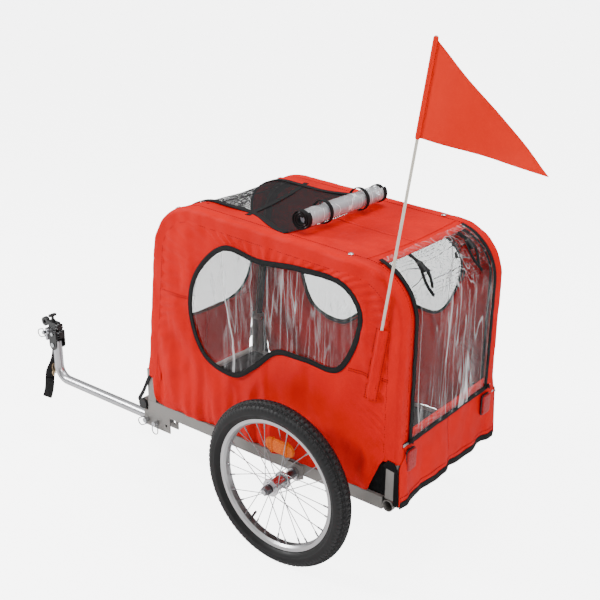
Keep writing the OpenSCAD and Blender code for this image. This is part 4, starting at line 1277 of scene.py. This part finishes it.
def build_flag():
    top, low = 1186, 1008
    tip = Vector((537, 978))
    rows, cols, verts = 30, 44, []
    for i in range(rows + 1):
        v = i / rows
        root = pole(top + (low - top) * v)
        for j in range(cols + 1):
            u = j / cols
            y = behind_axle(root.y)
            q = Vector((y, root.z / MM)).lerp(tip, u)
            w = 5.0 * math.sin(u * 7.0 + v * 1.2) * smooth(0.0, 0.35, u)
            w += 3.0 * wave(q.x, q.y, 0, 70, 3.0) * u
            verts.append(at(POLE_X + w, q.x, q.y))
    flag = add_piece("flag_cloth", verts, grid_faces(rows + 1, cols + 1), FLAG, "pennant", ["flag"])
    thicken(flag, 0.7)
    line = [pole(z) for z in range(low - 4, top + 5, 6)]
    verts, faces = sweep(line, round_section(5.0, 14), False, Vector((1, 0, 0)))
    sleeve = add_piece("flag_sleeve", verts, faces, FLAG, "pennant")
    sleeve.modifiers.new("round", "SUBSURF").levels = 1
    seam = [pole(z, 0.9, 7.5) for z in range(low + 4, top - 2, 4)]
    stitches("flag_stitches", seam, Vector((1, 0, 0)), "pennant", FLAG)


def build_pocket():
    """Red tube for the pole, sewn to the side wall through a flap on either side."""
    z0, z1 = 446, 612
    base = HOOP_X + 12.2
    section = [(-17, 0.0), (-9.5, 0.8), (-6.5, 4.6), (-4.2, 8.6), (0, 10.6),
               (4.2, 8.6), (6.5, 4.6), (9.5, 0.8), (17, 0.0)]
    verts, rows = [], 30
    for i in range(rows + 1):
        z = z0 + (z1 - z0) * i / rows
        for dy, dx in section:
            w = 0.8 * wave(dy * 3, z, 0, 22, 6.0)
            p = pole(z)
            y = behind_axle(p.y) + dy + w
            close = smooth(0, 2, i)
            verts.append(at(base + dx * (0.35 + 0.65 * close) + w * 0.4, y, z))
    faces = [tuple(reversed(f)) for f in grid_faces(rows + 1, len(section))]
    obj = add_piece("pole_pocket", verts, faces, RED, "left_side")
    thicken(obj, 1.0)
    subdivide(obj)
    for dy, y_tag in ((-15, "front"), (15, "rear"), (-8.5, "near_front"), (8.5, "near_rear")):
        dx = base - POLE_X + (0.9 if abs(dy) > 10 else 2.2)
        line = [pole(z, dx, dy) for z in range(z0 + 3, z1 - 2, 5)]
        stitches(f"pocket_stitches_{y_tag}", line, Vector((1, 0, 0)), "left_side")


def lathe(name, profile, centre, axis, material, body):
    """Turned piece: profile is (radius, height) in mm from the centre along the axis."""
    u = axis.orthogonal().normalized()
    w = axis.cross(u)
    n, verts = 24, []
    for r, h in profile:
        for a in full_turn(n):
            verts.append(centre + (u * math.cos(a) + w * math.sin(a)) * (r * MM) + axis * (h * MM))
    return add_piece(name, verts, tube_faces(len(profile), n), material, body)


def build_snaps():
    path = hoop_path(400, 400, 6)
    dome = ((6.4, 0), (6.4, 1.0), (5.6, 2.2), (4.0, 2.9), (2.6, 2.7), (1.2, 2.2))
    for side, word in SIDES:
        for y, tag in ((112, "rear"), (-372, "front")):
            p, n, s = roof_row(path, y)
            lathe(f"snap_{tag}_{word}", dome, sheet_point(side * (HOOP_X - 14), p, n, 12.4), outward(n),
                  CHROME, f"{word}_side")


# ---------------------------------------------------------------- safety strap


def build_strap():
    lo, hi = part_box("safety_strap")
    x = (lo[0] + hi[0]) / 2 / MM
    y0 = behind_axle(hi[1]) - 4
    y1 = behind_axle(lo[1]) + 4
    z0, z1 = hi[2] / MM, lo[2] / MM
    pts = []
    for k in range(40):
        t = k / 39
        y = y0 + (y1 - y0) * t ** 1.35 + 2.0 * math.sin(t * 9)
        pts.append(at(x + 2.5 * math.sin(t * 5.0), y, z0 + (z1 - z0) * t))
    twist = [smooth(0.0, 0.75, k / 39) for k in range(40)]
    flat = [Vector((-0.6, 0.79, 0)).lerp(Vector((0.79, 0.61, 0)), t) for t in twist]
    strap = tape("strap_webbing", pts, 26, 2.4, "chassis", flat)
    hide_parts("safety_strap")
    under = [p + Vector((0.79, 0.61, 0)) * (2.7 * MM) for p in pts[24:]]
    tape("strap_end_fold", under, 25, 2.2, "chassis", flat[24:])
    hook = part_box("strap_hook")
    c = (Vector(hook[0]) + Vector(hook[1])) / 2
    loop = [c + Vector((0.5 * math.sin(3 * a), 6 * math.cos(a), 14 * math.sin(a) + 16)) * MM
            for a in full_turn(40)]
    cord("strap_cord", loop, 1.6, TAN_CORD, "chassis", True, up=Vector((1, 0, 0)), sides=8)


build_sleeves()
build_side_walls()
build_windows()
build_cover()
build_front_door()
build_rear_flap()
build_gussets()
build_roll()
build_tyres()
build_reflectors()
build_flag()
build_pocket()
build_snaps()
build_strap()

# ---------------------------------------------------------------- camera, light, floor


def floor_material():
    """Pale studio floor that the camera sees a little brighter than it lights the object."""
    n = Nodes("pale_floor")
    spots = n.noise(1.3, 4.0)
    tone = n.mix(spots, rgb(0.90, 0.90, 0.90), rgb(0.93, 0.93, 0.93))
    shader = n.principled(Base__Color=tone, Roughness=0.75, Normal=n.bump(n.noise(60.0), 0.03, 0.001))
    path = n.add("ShaderNodeLightPath")
    glow = n.add("ShaderNodeEmission", Color=rgb(1, 1, 1),
                 Strength=n.math("MULTIPLY", path.outputs["Is Camera Ray"], FLOOR_GLOW))
    return n.finish(n.add("ShaderNodeAddShader", i0=shader.outputs[0], i1=glow.outputs[0]).outputs[0])


# Strength of the glow that only the camera sees, and half the floor's width in metres
FLOOR_GLOW = 5.5
FLOOR_HALF = 60.0


def studio_world():
    """Even white light with a pale backdrop for the camera.

    Reflections see it darker towards the ground, so that films and metals keep contrast.
    """
    world = bpy.data.worlds.new("studio")
    bpy.context.scene.world = world
    n = Nodes("studio", world)
    back = n.add("ShaderNodeBackground")
    path = n.add("ShaderNodeLightPath").outputs
    up = n.add("ShaderNodeSeparateXYZ", i0=n.add("ShaderNodeTexCoord").outputs["Generated"]).outputs[2]
    sky = n.ramp(up, ((0.05, (0.10, 0.10, 0.10)), (0.75, (1.0, 1.0, 1.0))))
    lit = n.add("ShaderNodeMix", _data_type="FLOAT", i0=path["Is Glossy Ray"], i2=WORLD_LIGHT, i3=sky)
    seen = n.add("ShaderNodeMix", _data_type="FLOAT", i0=path["Is Camera Ray"], i2=lit.outputs[0],
                 i3=BACKDROP)
    n.set(back, "Strength", seen.outputs[0])
    n.finish(back.outputs[0])


# Strength of the light on the object, and of the backdrop that only the camera sees
WORLD_LIGHT = 0.40
BACKDROP = 6.2
# Name, power in watts, size in metres, place
LAMPS = (("key", 125, 0.7, (1.9, -2.7, 2.2)),
         ("rear", 64, 1.2, (1.2, 3.1, 2.2)),
         ("top", 58, 1.4, (-0.4, 0.3, 3.4)))


def stage():
    floor = bpy.data.meshes.new("floor")
    r = FLOOR_HALF
    floor.from_pydata([(-r, -r, 0), (r, -r, 0), (r, r, 0), (-r, r, 0)], [], [(0, 1, 2, 3)])
    obj = bpy.data.objects.new("floor", floor)
    bpy.context.scene.collection.objects.link(obj)
    floor.materials.append(floor_material())
    obj.location.z = -0.001
    studio_world()
    for name, power, size, place in LAMPS:
        data = bpy.data.lights.new(name, "AREA")
        data.energy = power
        data.size = size
        lamp = bpy.data.objects.new(name, data)
        lamp.location = place
        lamp.rotation_euler = (Vector((0, 0, 0.4)) - Vector(place)).to_track_quat("-Z", "Y").to_euler()
        bpy.context.scene.collection.objects.link(lamp)


# Azimuth, elevation and roll in degrees, place and lens in millimetres
CAMERA_TURN = (127.9, 21.23, 0.75)
CAMERA_PLACE = (1734.3, 1190.1, 1370.8)
SENSOR = 36
FOCAL_LENGTH = 58.368


def camera():
    azimuth, elevation, roll = [math.radians(a) for a in CAMERA_TURN]
    back = Vector((math.sin(azimuth) * math.cos(elevation), -math.cos(azimuth) * math.cos(elevation),
                   math.sin(elevation)))
    right = (-back).cross(Vector((0, 0, 1))).normalized()
    up = right.cross(-back)
    r = right * math.cos(roll) + up * math.sin(roll)
    u = -right * math.sin(roll) + up * math.cos(roll)
    data = bpy.data.cameras.new("camera")
    data.sensor_width = SENSOR
    data.lens = FOCAL_LENGTH
    cam = bpy.data.objects.new("camera", data)
    m = Matrix((r, u, back)).transposed().to_4x4()
    m.translation = at(*CAMERA_PLACE)
    cam.matrix_world = m
    bpy.context.scene.collection.objects.link(cam)
    bpy.context.scene.camera = cam


stage()
camera()
